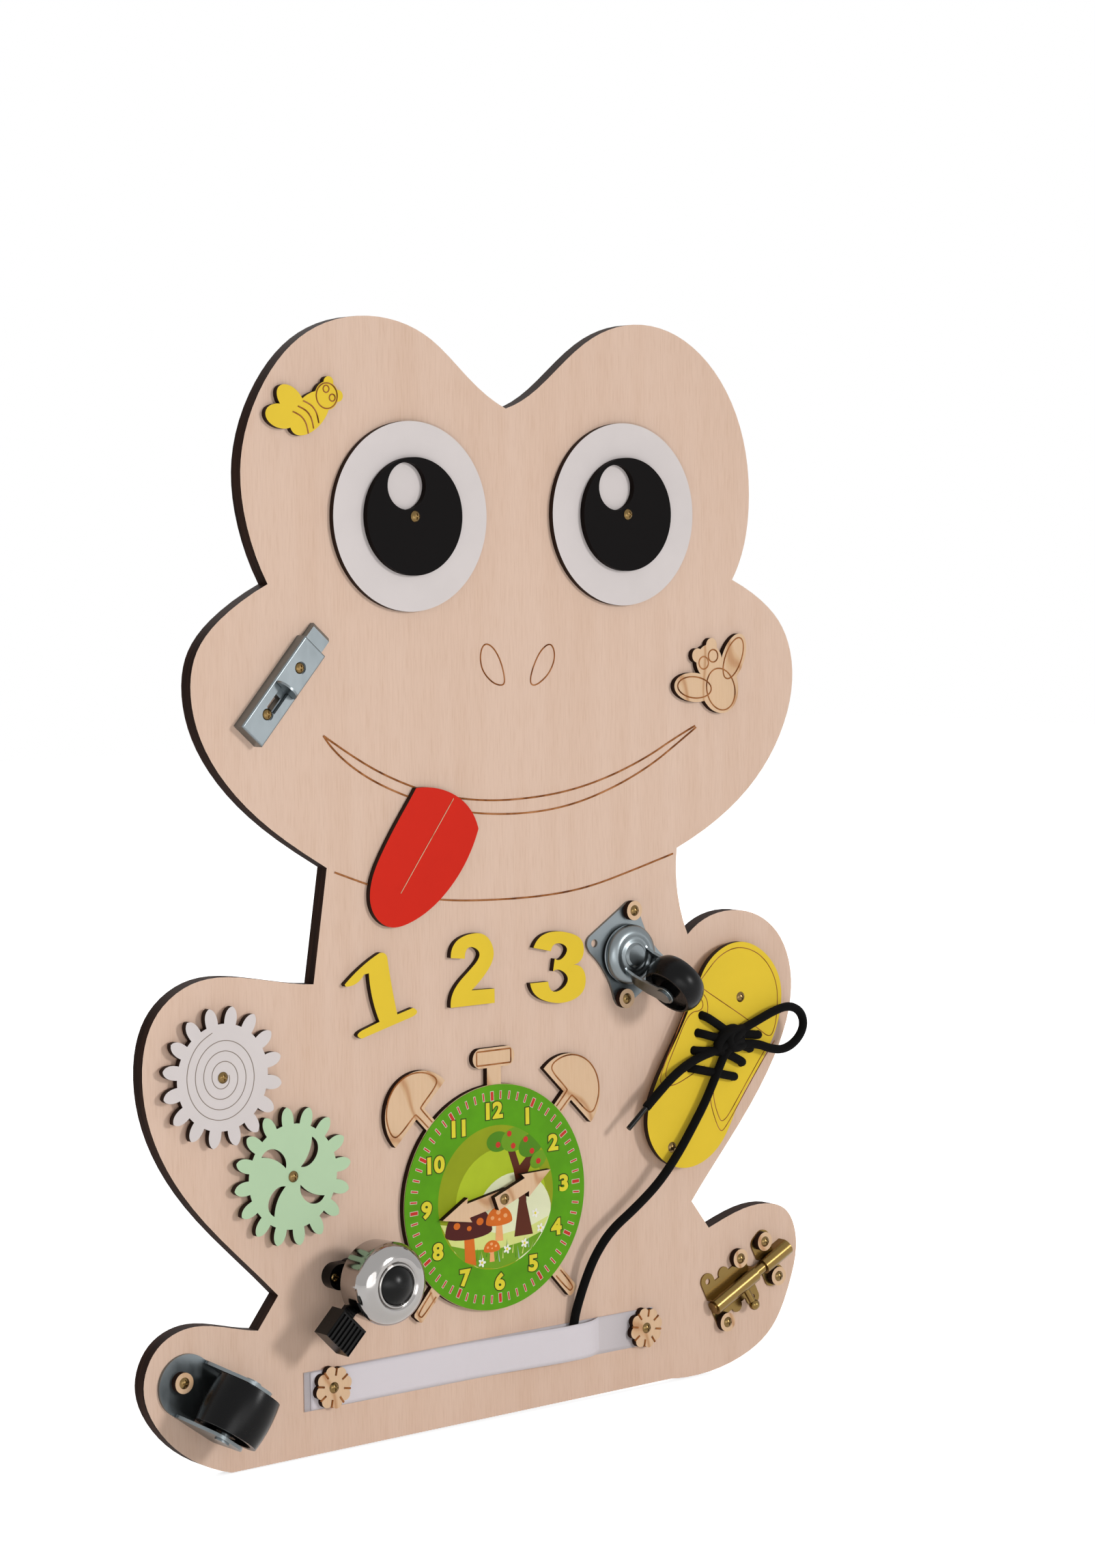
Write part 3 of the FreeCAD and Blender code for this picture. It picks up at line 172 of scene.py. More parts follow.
# Shoelace. The free stretches repeat the construction's routes.
LACE_R = 2.5
LACE_SEEN_R = 2.9
LACE_HOLE_H = 7.5
LACE_ROWS = (((141.0, -327.0), (-3.6, -11.2)), ((190.0, -344.5), (-7.5, -8.5)))
RUNG_PULL = (0.5, 0.5, 0.3, 0.0)
KNOT_AT = (160.0, -345.0)
LOOP_ROUTE = ((172.5, -338.5, 15.0), (185.0, -333.5, 16.5), (198.0, -328.5, 17.5), (211.0, -326.0, 18.0),
              (221.5, -331.0, 18.0), (224.5, -341.0, 18.0), (217.5, -350.5, 18.0), (206.0, -355.5, 17.5),
              (194.5, -353.5, 17.0), (183.5, -349.0, 16.0), (173.0, -348.5, 15.0))
LONG_ROUTE = ((155.5, -354.8, 15.0), (147.5, -368.0, 15.5), (138.5, -383.5, 15.5), (127.5, -398.5, 15.5),
              (114.5, -414.5, 16.0), (97.5, -431.5, 16.5), (77.0, -445.5, 16.5), (58.0, -457.5, 15.0),
              (46.8, -472.5, 12.5), (41.5, -488.0, 9.0), (38.2, -502.0, 6.0), (36.2, -512.0, 4.2),
              (34.8, -521.0, 3.8))
SHORT_ROUTE = ((148.0, -350.5, 15.0), (137.0, -352.5, 15.5), (125.0, -356.0, 16.0), (112.0, -362.0, 17.0),
               (99.5, -370.5, 17.5), (87.0, -381.0, 17.0))
KNOT_ROUTES = (
    ((172.0, -338.0, 15.0), (160.0, -338.5, 18.0), (150.5, -343.0, 17.5), (149.0, -349.5, 16.0),
     (157.0, -353.5, 14.5)),
    ((173.0, -348.5, 15.0), (164.0, -351.0, 18.5), (157.0, -347.0, 19.0), (158.0, -339.5, 18.0),
     (166.5, -338.0, 15.5)),
    ((148.0, -350.5, 15.0), (156.0, -347.0, 17.5), (165.0, -342.0, 18.5), (171.0, -339.5, 16.0)),
    ((155.5, -354.8, 15.0), (158.0, -349.0, 18.0), (163.5, -344.0, 18.5), (170.0, -346.5, 16.0)),
    ((150.0, -345.0, 14.5), (156.0, -338.0, 15.5), (166.0, -336.5, 15.0), (172.5, -343.0, 15.0),
     (166.0, -350.5, 15.0), (156.0, -350.5, 15.0), (150.0, -345.0, 14.5)),
)

# Face of the frog: nostrils, smile, chin and the crease of its tongue
NOSTRILS = {
    "left": ((-24.5, -78.8), (-18.0, -83.0), (-12.5, -93.0), (-10.2, -104.5), (-14.0, -106.0),
             (-21.0, -103.5), (-28.0, -96.5), (-30.0, -88.5), (-28.5, -81.5)),
    "right": ((25.0, -80.3), (29.0, -83.5), (29.6, -91.0), (25.0, -99.5), (17.0, -105.5), (11.5, -107.0),
              (9.3, -104.0), (11.5, -96.0), (17.5, -85.5)),
}
FACE_LINES = {
    "smile_upper": ((-149.5, -131.0), (-128.0, -145.0), (-100.0, -159.5), (-66.0, -171.5), (-32.0, -177.0),
                    (0.0, -178.0), (36.0, -175.5), (70.0, -168.5), (104.0, -157.0), (130.0, -144.5),
                    (146.0, -138.0)),
    "smile_lower": ((-149.5, -131.0), (-143.0, -140.5), (-118.0, -158.5), (-84.0, -173.0), (-44.0, -184.0),
                    (0.0, -187.5), (40.0, -184.5), (76.0, -175.0), (108.0, -162.0), (132.0, -148.0),
                    (147.0, -139.0)),
    "chin_line": ((-143.0, -214.0), (-122.0, -222.0), (-96.0, -231.0), (-60.0, -237.5), (-20.0, -240.0),
                  (20.0, -240.3), (54.0, -237.5), (90.0, -229.5), (126.0, -220.5)),
}
TONGUE_CREASE = ((-55.0, -174.0, TRIM), (-66.0, -189.0, TRIM), (-81.0, -209.0, TRIM), (-96.5, -230.0, TRIM))

SHOE_SEAMS = {
    "shoe_heel_seam": ((137.0, -307.0), (143.5, -301.0), (156.5, -288.8), (174.3, -283.6), (195.0, -291.6),
                       (208.0, -310.5), (207.4, -332.0), (204.5, -343.0), (200.5, -347.5), (191.0, -341.0),
                       (182.0, -334.0), (160.0, -320.5), (141.2, -309.0), (136.0, -304.5)),
    "shoe_left_outer": ((133.0, -312.0), (124.0, -328.0), (113.0, -348.0), (103.5, -366.0), (108.0, -369.5),
                        (116.0, -371.0), (129.0, -366.5), (143.0, -360.5)),
    "shoe_left_inner": ((143.0, -313.5), (147.5, -318.0), (146.0, -326.0)),
    "shoe_left_double": ((139.0, -314.5), (143.0, -318.5), (141.0, -324.0), (130.0, -324.0), (118.0, -345.0),
                         (108.0, -363.0), (113.0, -367.0), (127.0, -362.5)),
    "shoe_flank_outer": ((205.0, -350.0), (196.0, -359.5), (176.0, -384.5), (160.0, -404.5), (156.0, -405.5),
                         (151.0, -395.0), (147.5, -383.0), (147.0, -373.0)),
    "shoe_flank_inner": ((199.0, -352.0), (192.0, -360.0), (173.5, -383.0), (158.5, -401.5), (153.5, -392.5),
                         (150.5, -382.0), (150.0, -372.0)),
}


def at(x, y, h=0.0):
    return Vector(((x + ORIGIN_X) * MM, -(BOARD_T + h) * MM, (y + ORIGIN_Z) * MM))


def polar(centre, radius, degrees):
    turn = math.radians(degrees)
    return (centre[0] + radius * math.cos(turn), centre[1] + radius * math.sin(turn))


def local(centre, degrees, u, v):
    """Point (u, v) of a drawing that is turned and set down at a centre."""
    turn = math.radians(degrees)
    return (centre[0] + u * math.cos(turn) - v * math.sin(turn),
            centre[1] + u * math.sin(turn) + v * math.cos(turn))


def placed(centre, degrees, points):
    return [local(centre, degrees, u, v) for u, v in points]


def srgb(r, g, b):
    def one(v):
        v = v / 255.0
        return v / 12.92 if v <= 0.04045 else ((v + 0.055) / 1.055) ** 2.4
    return (one(r), one(g), one(b), 1.0)


BURNT = srgb(40, 24, 17)
BIRCH = srgb(214, 186, 167)
PLY = srgb(213, 181, 148)


def make_camera():
    data = bpy.data.cameras.new("photo_view")
    data.lens = CAMERA_LENS
    data.sensor_width = 36.0
    cam = bpy.data.objects.new("photo_view", data)
    cam.location = CAMERA_AT
    cam.rotation_euler = [math.radians(a) for a in CAMERA_TURN]
    bpy.context.scene.collection.objects.link(cam)
    bpy.context.scene.camera = cam


class Nodes:
    """Short hand for building one material's node tree."""

    def __init__(self, name):
        self.mat = bpy.data.materials.new(name)
        self.mat.use_nodes = True
        self.tree = self.mat.node_tree
        self.shader = self.tree.nodes["Principled BSDF"]

    def add(self, kind, **values):
        node = self.tree.nodes.new(kind)
        for key, value in values.items():
            setattr(node, key, value)
        return node

    def link(self, out, into):
        self.tree.links.new(out, into)

    def give(self, socket, value):
        """Links a socket's value, or sets it where it is one number or colour."""
        if isinstance(value, bpy.types.NodeSocket):
            self.link(value, socket)
        else:
            socket.default_value = value

    def coords(self, scale):
        place = self.add("ShaderNodeTexCoord")
        mapping = self.add("ShaderNodeMapping")
        mapping.inputs["Scale"].default_value = scale
        self.link(place.outputs["Object"], mapping.inputs["Vector"])
        return mapping.outputs["Vector"]

    def noise(self, scale, stretch=(1, 1, 1), detail=4.0, rough=0.55):
        tex = self.add("ShaderNodeTexNoise")
        tex.inputs["Scale"].default_value = scale
        tex.inputs["Detail"].default_value = detail
        tex.inputs["Roughness"].default_value = rough
        self.link(self.coords(stretch), tex.inputs["Vector"])
        return tex.outputs["Fac"]

    def wave(self, direction, stretch, scale, distortion):
        tex = self.add("ShaderNodeTexWave", bands_direction=direction)
        tex.inputs["Scale"].default_value = scale
        tex.inputs["Distortion"].default_value = distortion
        self.link(self.coords(stretch), tex.inputs["Vector"])
        return tex

    def ramp(self, fac, stops):
        node = self.add("ShaderNodeValToRGB")
        ramp = node.color_ramp
        while len(ramp.elements) < len(stops):
            ramp.elements.new(0.5)
        for element, (place, colour) in zip(ramp.elements, stops):
            element.position = place
            element.color = colour
        self.link(fac, node.inputs["Fac"])
        return node.outputs["Color"]

    def gloss(self, fac, low_stop, high_stop):
        """Roughness that drifts between two (place, value) stops."""
        return self.ramp(fac, [(place, (value, value, value, 1)) for place, value in (low_stop, high_stop)])

    def mix(self, fac, a, b):
        node = self.add("ShaderNodeMix", data_type="RGBA")
        for value, socket in ((fac, node.inputs[0]), (a, node.inputs[6]), (b, node.inputs[7])):
            self.give(socket, value)
        return node.outputs[2]

    def edge_mask(self):
        """1 on the sawn sides of a board, 0 on its front and back."""
        geometry = self.add("ShaderNodeTexCoord")
        split = self.add("ShaderNodeSeparateXYZ")
        self.link(geometry.outputs["Normal"], split.inputs[0])
        size = self.add("ShaderNodeMath", operation="ABSOLUTE")
        self.link(split.outputs["Y"], size.inputs[0])
        low = self.add("ShaderNodeMath", operation="LESS_THAN")
        low.inputs[1].default_value = 0.5
        self.link(size.outputs[0], low.inputs[0])
        return low.outputs[0]

    def bump(self, height, strength, distance):
        node = self.add("ShaderNodeBump")
        node.inputs["Strength"].default_value = strength
        node.inputs["Distance"].default_value = distance
        self.link(height, node.inputs["Height"])
        self.link(node.outputs["Normal"], self.shader.inputs["Normal"])

    def finish(self, colour, rough, metal=0.0, shine=0.5):
        self.give(self.shader.inputs["Base Color"], colour)
        self.give(self.shader.inputs["Roughness"], rough)
        self.shader.inputs["Metallic"].default_value = metal
        self.shader.inputs["Specular IOR Level"].default_value = shine
        return self.mat


def shade(colour, factor):
    return (colour[0] * factor, colour[1] * factor, colour[2] * factor, 1.0)


def tint(colour, factors):
    return tuple(c * f for c, f in zip(colour, factors)) + (1.0,)


def wood(name, colour):
    """Light birch veneer: upright fibres, pale and rosy clouds and laser-burnt sawn edges."""
    m = Nodes(name)
    clouds = m.noise(11.0, (1.0, 1.0, 0.3), 3.0)
    base = m.ramp(clouds, [(0.3, tint(colour, (0.96, 0.94, 0.92))), (0.5, colour),
                           (0.7, tint(colour, (1.04, 1.06, 1.08)))])
    bands = m.noise(70.0, (1.0, 1.0, 0.06), 4.0, 0.5)
    band = m.ramp(bands, [(0.35, tint(colour, (0.92, 0.86, 0.8))), (0.6, shade(colour, 1.03))])
    fibres = m.noise(1100.0, (1.0, 1.0, 0.05), 3.0, 0.6)
    fibre = m.ramp(fibres, [(0.34, tint(colour, (0.86, 0.78, 0.71))), (0.5, colour),
                            (0.7, shade(colour, 1.07))])
    face = m.mix(0.38, m.mix(0.5, base, band), fibre)
    plies = m.noise(420.0, (0.06, 1.0, 0.06), 1.0)
    burnt = m.ramp(plies, [(0.35, shade(BURNT, 0.7)), (0.65, shade(BURNT, 1.6))])
    m.bump(fibres, 0.1, 0.0003)
    return m.finish(m.mix(m.edge_mask(), face, burnt), 0.7, shine=0.06)


def figured_ply(name, colour):
    """Plywood with brown growth lines curling across it."""
    m = Nodes(name)
    wave = m.wave("DIAGONAL", (1.0, 1.0, 0.5), 20.0, 14.0)
    wave.inputs["Detail"].default_value = 2.0
    wave.inputs["Detail Scale"].default_value = 0.8
    lines = m.ramp(wave.outputs["Fac"], [(0.0, tint(colour, (0.7, 0.5, 0.36))),
                                         (0.03, tint(colour, (0.88, 0.78, 0.68))),
                                         (0.12, colour), (0.8, shade(colour, 1.04))])
    fibres = m.noise(900.0, (1.0, 1.0, 0.06), 3.0, 0.6)
    fibre = m.ramp(fibres, [(0.34, tint(colour, (0.88, 0.8, 0.72))), (0.55, colour)])
    m.bump(fibres, 0.1, 0.0003)
    return m.finish(m.mix(m.edge_mask(), m.mix(0.25, lines, fibre), BURNT), 0.7, shine=0.06)


def paint(name, colour, edge=BURNT, shine=0.1):
    """Satin paint rolled on plywood: slight mottling, burnt sides."""
    m = Nodes(name)
    mottle = m.noise(30.0)
    face = m.ramp(mottle, [(0.3, shade(colour, 0.97)), (0.7, shade(colour, 1.02))])
    peel = m.noise(700.0, (1.0, 1.0, 0.6), 3.0)
    m.bump(peel, 0.08, 0.0002)
    return m.finish(m.mix(m.edge_mask(), face, edge), 0.5, shine=shine)


def metal(name, colour, rough, spread=0.08, scale=22.0):
    """Plated or polished metal: faint clouds in its colour and fine handling marks in its gloss."""
    m = Nodes(name)
    cloud = m.noise(scale, detail=3.0)
    face = m.ramp(cloud, [(0.3, shade(colour, 0.93)), (0.7, shade(colour, 1.04))])
    marks = m.noise(scale * 9.0, (1.0, 1.0, 0.25))
    return m.finish(face, m.gloss(marks, (0.35, rough), (0.75, rough + spread)), 1.0)


def plastic(name, colour, shine):
    """Moulded plastic: a fine grain and a gloss that drifts."""
    m = Nodes(name)
    fine = m.noise(900.0, detail=2.0)
    m.bump(fine, 0.05, 0.0002)
    return m.finish(colour, m.gloss(m.noise(45.0), (0.3, 0.22), (0.8, 0.34)), shine=shine)


def woven(name, colour, scale, strength, sheen=0.15):
    """Fabric whose threads come from two crossed waves."""
    m = Nodes(name)
    across, along = [m.wave(axis, (1, 1, 1), scale, 0.6).outputs["Fac"] for axis in ("X", "Z")]
    both = m.add("ShaderNodeMath", operation="MULTIPLY")
    m.link(across, both.inputs[0])
    m.link(along, both.inputs[1])
    face = m.ramp(both.outputs[0], [(0.0, shade(colour, 0.78)), (0.6, colour)])
    m.bump(both.outputs[0], strength, 0.0006)
    m.shader.inputs["Sheen Weight"].default_value = sheen
    return m.finish(face, 0.85, shine=0.1)


def print_ink(name, colour, spread=0.05):
    m = Nodes(name)
    mottle = m.noise(55.0, detail=3.0)
    face = m.ramp(mottle, [(0.3, shade(colour, 1.0 - spread)), (0.7, shade(colour, 1.0 + spread))])
    return m.finish(face, 0.4, shine=0.12)


def burnt_line():
    m = Nodes("burnt_line")
    patchy = m.noise(90.0, detail=3.0)
    face = m.ramp(patchy, [(0.34, srgb(92, 50, 24)), (0.48, srgb(146, 90, 48)), (0.7, srgb(180, 124, 80))])
    return m.finish(face, 0.8, shine=0.1)


def make_materials():
    """Materials by name: one for each of the record's slots, and the inks of the print."""
    made = {
        "birch": wood("birch", BIRCH),
        "natural_ply": figured_ply("natural_ply", PLY),
        "white_paint": paint("white_paint", srgb(208, 200, 198)),
        "black_paint": paint("black_paint", srgb(17, 15, 15), srgb(20, 14, 12), 0.03),
        "yellow_paint": paint("yellow_paint", srgb(222, 190, 52)),
        "red_paint": paint("red_paint", srgb(200, 34, 16)),
        "mint_paint": paint("mint_paint", srgb(176, 202, 166)),
        "dial_print": print_ink("dial_print", srgb(84, 148, 14), 0.1),
        "zinc": metal("zinc", srgb(122, 129, 132), 0.28),
        "brass": metal("brass", srgb(126, 103, 60), 0.24, 0.02, 9.0),
        "yellow_zinc": metal("yellow_zinc", srgb(120, 98, 62), 0.26),
        "chrome": metal("chrome", srgb(158, 155, 153), 0.08, 0.04),
        "black_plastic": plastic("black_plastic", srgb(9, 9, 9), 0.16),
        "wheel_black": plastic("wheel_black", srgb(8, 8, 9), 0.14),
        "white_tape": woven("white_tape", srgb(224, 216, 219), 900.0, 0.35),
        "lace": woven("lace", srgb(12, 11, 11), 1500.0, 0.7, 0.0),
    }
    for name, colour in (("tick_white", (206, 196, 178)), ("tick_red", (190, 52, 40)),
                         ("number_edge", (44, 62, 10)), ("number_yellow", (214, 200, 52)),
                         ("ink_olive", (138, 150, 22)), ("ink_cream", (220, 222, 184)),
                         ("ink_lime", (168, 186, 40)), ("ink_pale", (206, 212, 128)),
                         ("ink_maroon", (72, 24, 20)), ("ink_peach", (226, 160, 104)),
                         ("ink_mist", (150, 176, 160)), ("ink_straw", (206, 208, 120)),
                         ("ink_leaf", (104, 150, 30)), ("ink_grass", (76, 128, 24)),
                         ("ink_brown", (84, 36, 20)), ("ink_orange", (206, 104, 34)),
                         ("ink_white", (232, 230, 220)), ("spiral_grey", (140, 128, 118))):
        made[name] = print_ink(name, srgb(*colour))
    return made


def dress_nodes():
    """Gives every carried-over piece the material of its slot."""
    for entry in frame["record"]["subparts"]:
        obj = nodes[entry["node"]]
        obj.data.materials.clear()
        obj.data.materials.append(library[entry["material_slot"]])


def link_piece(name, data, body, material):
    obj = bpy.data.objects.new(name, data)
    bpy.context.scene.collection.objects.link(obj)
    obj.data.materials.append(material)
    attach(obj, body)
    return obj


def settled(name, bm, smooth=False):
    """Mesh of a finished bmesh, with its faces turned outward."""
    mesh = bpy.data.meshes.new(name)
    bmesh.ops.recalc_face_normals(bm, faces=bm.faces)
    bm.to_mesh(mesh)
    bm.free()
    if smooth:
        for poly in mesh.polygons:
            poly.use_smooth = True
    return mesh


def swept(name, routes, radius, roundness, steps, closed=False):
    """Round curve along each route, whose points (x, y, height) are its control points."""
    curve = bpy.data.curves.new(name, "CURVE")
    curve.dimensions = "3D"
    for route in routes:
        spline = curve.splines.new("NURBS")
        spline.points.add(len(route) - 1)
        for target, place in zip(spline.points, route):
            target.co = (*at(*place), 1.0)
        spline.order_u = 3
        spline.use_endpoint_u = not closed
        spline.use_cyclic_u = closed
        spline.resolution_u = steps
    curve.bevel_depth = radius * MM
    curve.bevel_resolution = roundness
    return curve


def line(name, points, body, material, half_width, closed=False):
    """Engraved line, sunk to its middle, through points (x, y, height)."""
    link_piece(name, swept(name, [points], half_width, 1, 8, closed), body, material)


def burn(name, points, height, half_width=LINE_BOLD, closed=False):
    """Burnt line at one height on something that stands still."""
    line(name, [(x, y, height) for x, y in points], "board", engraving, half_width, closed)


def patch(name, outline, height, thickness, ink):
    """Printed shape on the dial: a filled outline with a little thickness."""
    bm = bmesh.new()
    ring = [bm.verts.new(at(x, y, height)) for x, y in outline]
    face = bm.faces.new(ring)
    made = bmesh.ops.extrude_face_region(bm, geom=[face])
    for vert in [g for g in made["geom"] if isinstance(g, bmesh.types.BMVert)]:
        vert.co.y -= thickness * MM
    link_piece(name, settled(name, bm), "board", library[ink])


def oval(centre, rx, ry, turn=0.0, count=40):
    angles = [2 * math.pi * i / count for i in range(count)]
    return placed(centre, turn, [(rx * math.cos(a), ry * math.sin(a)) for a in angles])


def lettering(name, text, centre, height, swell, ink):
    """Number on the dial: swell is how far its strokes grow outward."""
    data = bpy.data.curves.new(name, "FONT")
    data.body = text
    data.size = NUMBER_SIZE * MM
    data.align_x = "CENTER"
    data.align_y = "CENTER"
    data.offset = swell * MM
    data.extrude = NUMBER_T * MM
    data.resolution_u = 4
    obj = link_piece(name, data, "board", library[ink])
    obj.location = at(*centre, height)
    obj.rotation_euler = (math.radians(90), 0, 0)
    obj.scale = (NUMBER_WIDEN, 1, 1)


def engrave_face():
    """Nostrils, smile and chin burnt into the board, and the pale crease of the tongue."""
    for side, points in NOSTRILS.items():
        burn("nostril_" + side, points, 0.0, LINE_TRIM, True)
    for name, points in FACE_LINES.items():
        burn(name, points, 0.0)
    line("tongue_line", TONGUE_CREASE, "board", library["natural_ply"], LINE_CREASE)


def spiral():
    """Grey spiral on the white gear, a little taller than wide."""
    points = []
    for i in range(SPIRAL_STEPS + 1):
        r = SPIRAL_INNER + (SPIRAL_OUTER - SPIRAL_INNER) * i / SPIRAL_STEPS
        angle = math.radians(SPIRAL_START) - 2 * math.pi * SPIRAL_TURNS * i / SPIRAL_STEPS
        points.append((GEAR_WHITE[0] + SPIRAL_STRETCH[0] * r * math.cos(angle),
                       GEAR_WHITE[1] + SPIRAL_STRETCH[1] * r * math.sin(angle), GEAR_FACE))
    line("gear_spiral", points, "gear_white", library["spiral_grey"], LINE_SPIRAL)


def engrave_clock():
    """Burnt outlines just inside the rims of the bell cards, the feet and the button."""
    for number, angle in enumerate(CARD_ANGLES):
        ring = []
        for i in range(CARD_STEPS + 1):
            ring.append(polar((CARD_BASE, 0.0), CARD_R, CARD_SWEEP * (2 * i / CARD_STEPS - 1)))
        outline = [(STEM_IN, -STEM_HALF), (CARD_BASE - 1.0, -STEM_HALF), (CARD_BASE, -STEM_HALF - 1.0),
                   (CARD_BASE, -CARD_R + 3.0)] + ring
        outline += [(CARD_BASE, CARD_R - 3.0), (CARD_BASE, STEM_HALF + 1.0), (CARD_BASE - 1.0, STEM_HALF),
                    (STEM_IN, STEM_HALF)]
        burn("bell_outline_%d" % number, placed(CLOCK, angle, outline), TRIM, LINE_TRIM)
    for number, angle in enumerate(FOOT_ANGLES):
        burn("foot_outline_%d" % number, placed(CLOCK, angle, FOOT_OUTLINE), TRIM, LINE_TRIM)
    w, h = BUTTON_HALF
    button = [(-w, 0), (-w, h), (1 - w, h), (0, h), (w - 1, h), (w, h), (w, 0), (w, -h), (w - 1, -h), (0, -h),
              (1 - w, -h), (-w, -h)]
    middle = (CLOCK[0], CLOCK[1] + BUTTON_UP)
    burn("button_outline", placed(middle, 0.0, button), TRIM, LINE_TRIM, True)


def make_dial():
    """Printed ring of ticks and numbers, each a shape over a slightly larger one."""
    for i in range(60):
        angle = 90.0 - 6.0 * i + DIAL_SKEW
        half_w, length = TICK_SHORT if i % 5 else TICK_LONG
        for layer, (lift, grow, ink) in enumerate(((0.0, TICK_EDGE, "tick_white"), (0.05, 0.0, "tick_red"))):
            inner = TICK_OUTER - length - grow
            outer = TICK_OUTER + grow
            w = half_w + grow
            corners = [(inner, -w), (outer, -w), (outer, w), (inner, w)]
            patch("tick_%02d_%d" % (i, layer), placed(CLOCK, angle, corners), DIAL_FACE + lift, TICK_T, ink)
    for number in range(1, 13):
        where = polar(CLOCK, NUMBER_R, 90.0 + DIAL_SKEW - 30.0 * number)
        for layer, swell, ink in ((0, 1.25, "number_edge"), (1, 0.62, "number_yellow")):
            height = DIAL_FACE + TICK_T + 0.08 * layer
            lettering("number_%02d_%d" % (number, layer), str(number), where, height, swell, ink)


def garden():
    """Plain garden inside the ring: glow, hills, a tree, mushrooms and flowers, each on its level."""
    cx, cy = CLOCK

    def inside(points):
        out = []
        for x, y in points:
            d = math.hypot(x - cx, y - cy)
            k = min(1.0, (PICTURE_R - 0.4) / d) if d else 1.0
            out.append((cx + (x - cx) * k, cy + (y - cy) * k))
        return out

    def put(name, points, ink, level):
        patch(name, inside(points), DIAL_FACE + LAYER_STEP * level, LAYER_STEP * 0.8, ink)

    def near(points):
        return [(cx + dx, cy + dy) for dx, dy in points]

    put("garden_sky", oval(CLOCK, PICTURE_R, PICTURE_R, 0, 64), "ink_olive", 0)
    put("garden_light", oval((cx + 4, cy - 4), 36, 35), "ink_lime", 1)
    put("garden_glow", oval((cx + 14, cy - 14), 30, 28), "ink_cream", 2)
    ground = [(-44, -12), (-24, -16), (4, -24), (26, -22), (42, -17), (32, -33), (16, -42.5), (0, -45.4),
              (-16, -42.5), (-33, -31)]
    put("garden_ground", near(ground), "ink_pale", 3)
    meadow = [(-37, -26), (-20, -31), (0, -33), (20, -31), (37, -26), (28, -36), (14, -43), (0, -45.3),
              (-14, -43), (-28, -36)]
    put("garden_meadow", near(meadow), "ink_leaf", 4)
    trunk = [(14, -27), (18, -4), (14, 16), (8, 33), (14, 32), (19, 18), (30, 28), (32, 25), (24, 10),
             (24, -6), (29, -27)]
    put("garden_trunk", near(trunk), "ink_brown", 5)
    for i, (dx, dy, size) in enumerate(((2, 35, 9), (15, 35, 10.5), (28, 30, 10), (34, 20, 7))):
        put("garden_crown_%d" % i, oval((cx + dx, cy + dy), size, size * 0.72, 10 * i),
            "ink_leaf" if i % 2 else "ink_grass", 6 + i)
    for i, (dx, dy) in enumerate(((2, 33), (11, 39), (14, 31), (24, 34), (29, 26), (34, 19))):
        put("garden_apple_%d" % i, oval((cx + dx, cy + dy), 1.9, 1.9, 0, 16), "tick_red", 10)
    for i in range(22):
        x = cx - 24 + 2.6 * i
        lean = 1.6 * math.sin(2.3 * i)
        tall = 6.0 + 3.0 * math.sin(1.7 * i) ** 2
        foot = cy - 38 + 3.2 * math.sin(1.1 * i)
        put("grass_%02d" % i, [(x - 0.45, foot), (x + 0.45, foot), (x + lean, foot + tall)],
            ("ink_grass", "ink_mist", "ink_straw")[i % 3], 11 + i % 3)
    mushrooms = ((-22, -20, 18.5, "ink_maroon", "ink_orange"), (2, -16, 10.5, "ink_orange", "ink_peach"),
                 (-4, -33, 6.5, "ink_orange", "ink_peach"))
    dots = ((-0.5, 0.3, 0.14), (-0.05, 0.6, 0.17), (0.48, 0.34, 0.15), (0.02, 0.16, 0.1))
    for i, (dx, dy, size, cap_ink, dot_ink) in enumerate(mushrooms):
        level = 14 + 3 * i
        stem = [(dx - size * 0.3, dy - size * 1.15), (dx + size * 0.3, dy - size * 1.15),
                (dx + size * 0.2, dy + 1), (dx - size * 0.2, dy + 1)]
        put("mushroom_stem_%d" % i, near(stem), "ink_peach" if i else "ink_orange", level)
        cap = []
        for k in range(19):
            a = math.pi * k / 18
            cap.append((dx + size * math.cos(a), dy + size * 0.95 * math.sin(a)))
        for k in range(9):
            a = math.pi * (1 + (k + 1) / 10)
            cap.append((dx + size * math.cos(a), dy + size * 0.22 * math.sin(a)))
        put("mushroom_cap_%d" % i, near(cap), cap_ink, level + 1)
        for k, (u, v, w) in enumerate(dots):
            dot = oval((cx + dx + size * u, cy + dy + size * v), size * w, size * w * 0.85, 0, 16)
            put("mushroom_dot_%d_%d" % (i, k), dot, dot_ink, level + 2)
    for i, (dx, dy) in enumerate(((8, -34), (31, -14), (-12, -40), (22, -32), (35, -24))):
        for k in range(5):
            where = polar((cx + dx, cy + dy), 1.7, 72 * k)
            put("daisy_%d_%d" % (i, k), oval(where, 1.4, 0.85, 72 * k, 12), "ink_white", 23)
        put("daisy_heart_%d" % i, oval((cx + dx, cy + dy), 0.9, 0.9, 0, 10), "number_yellow", 24)


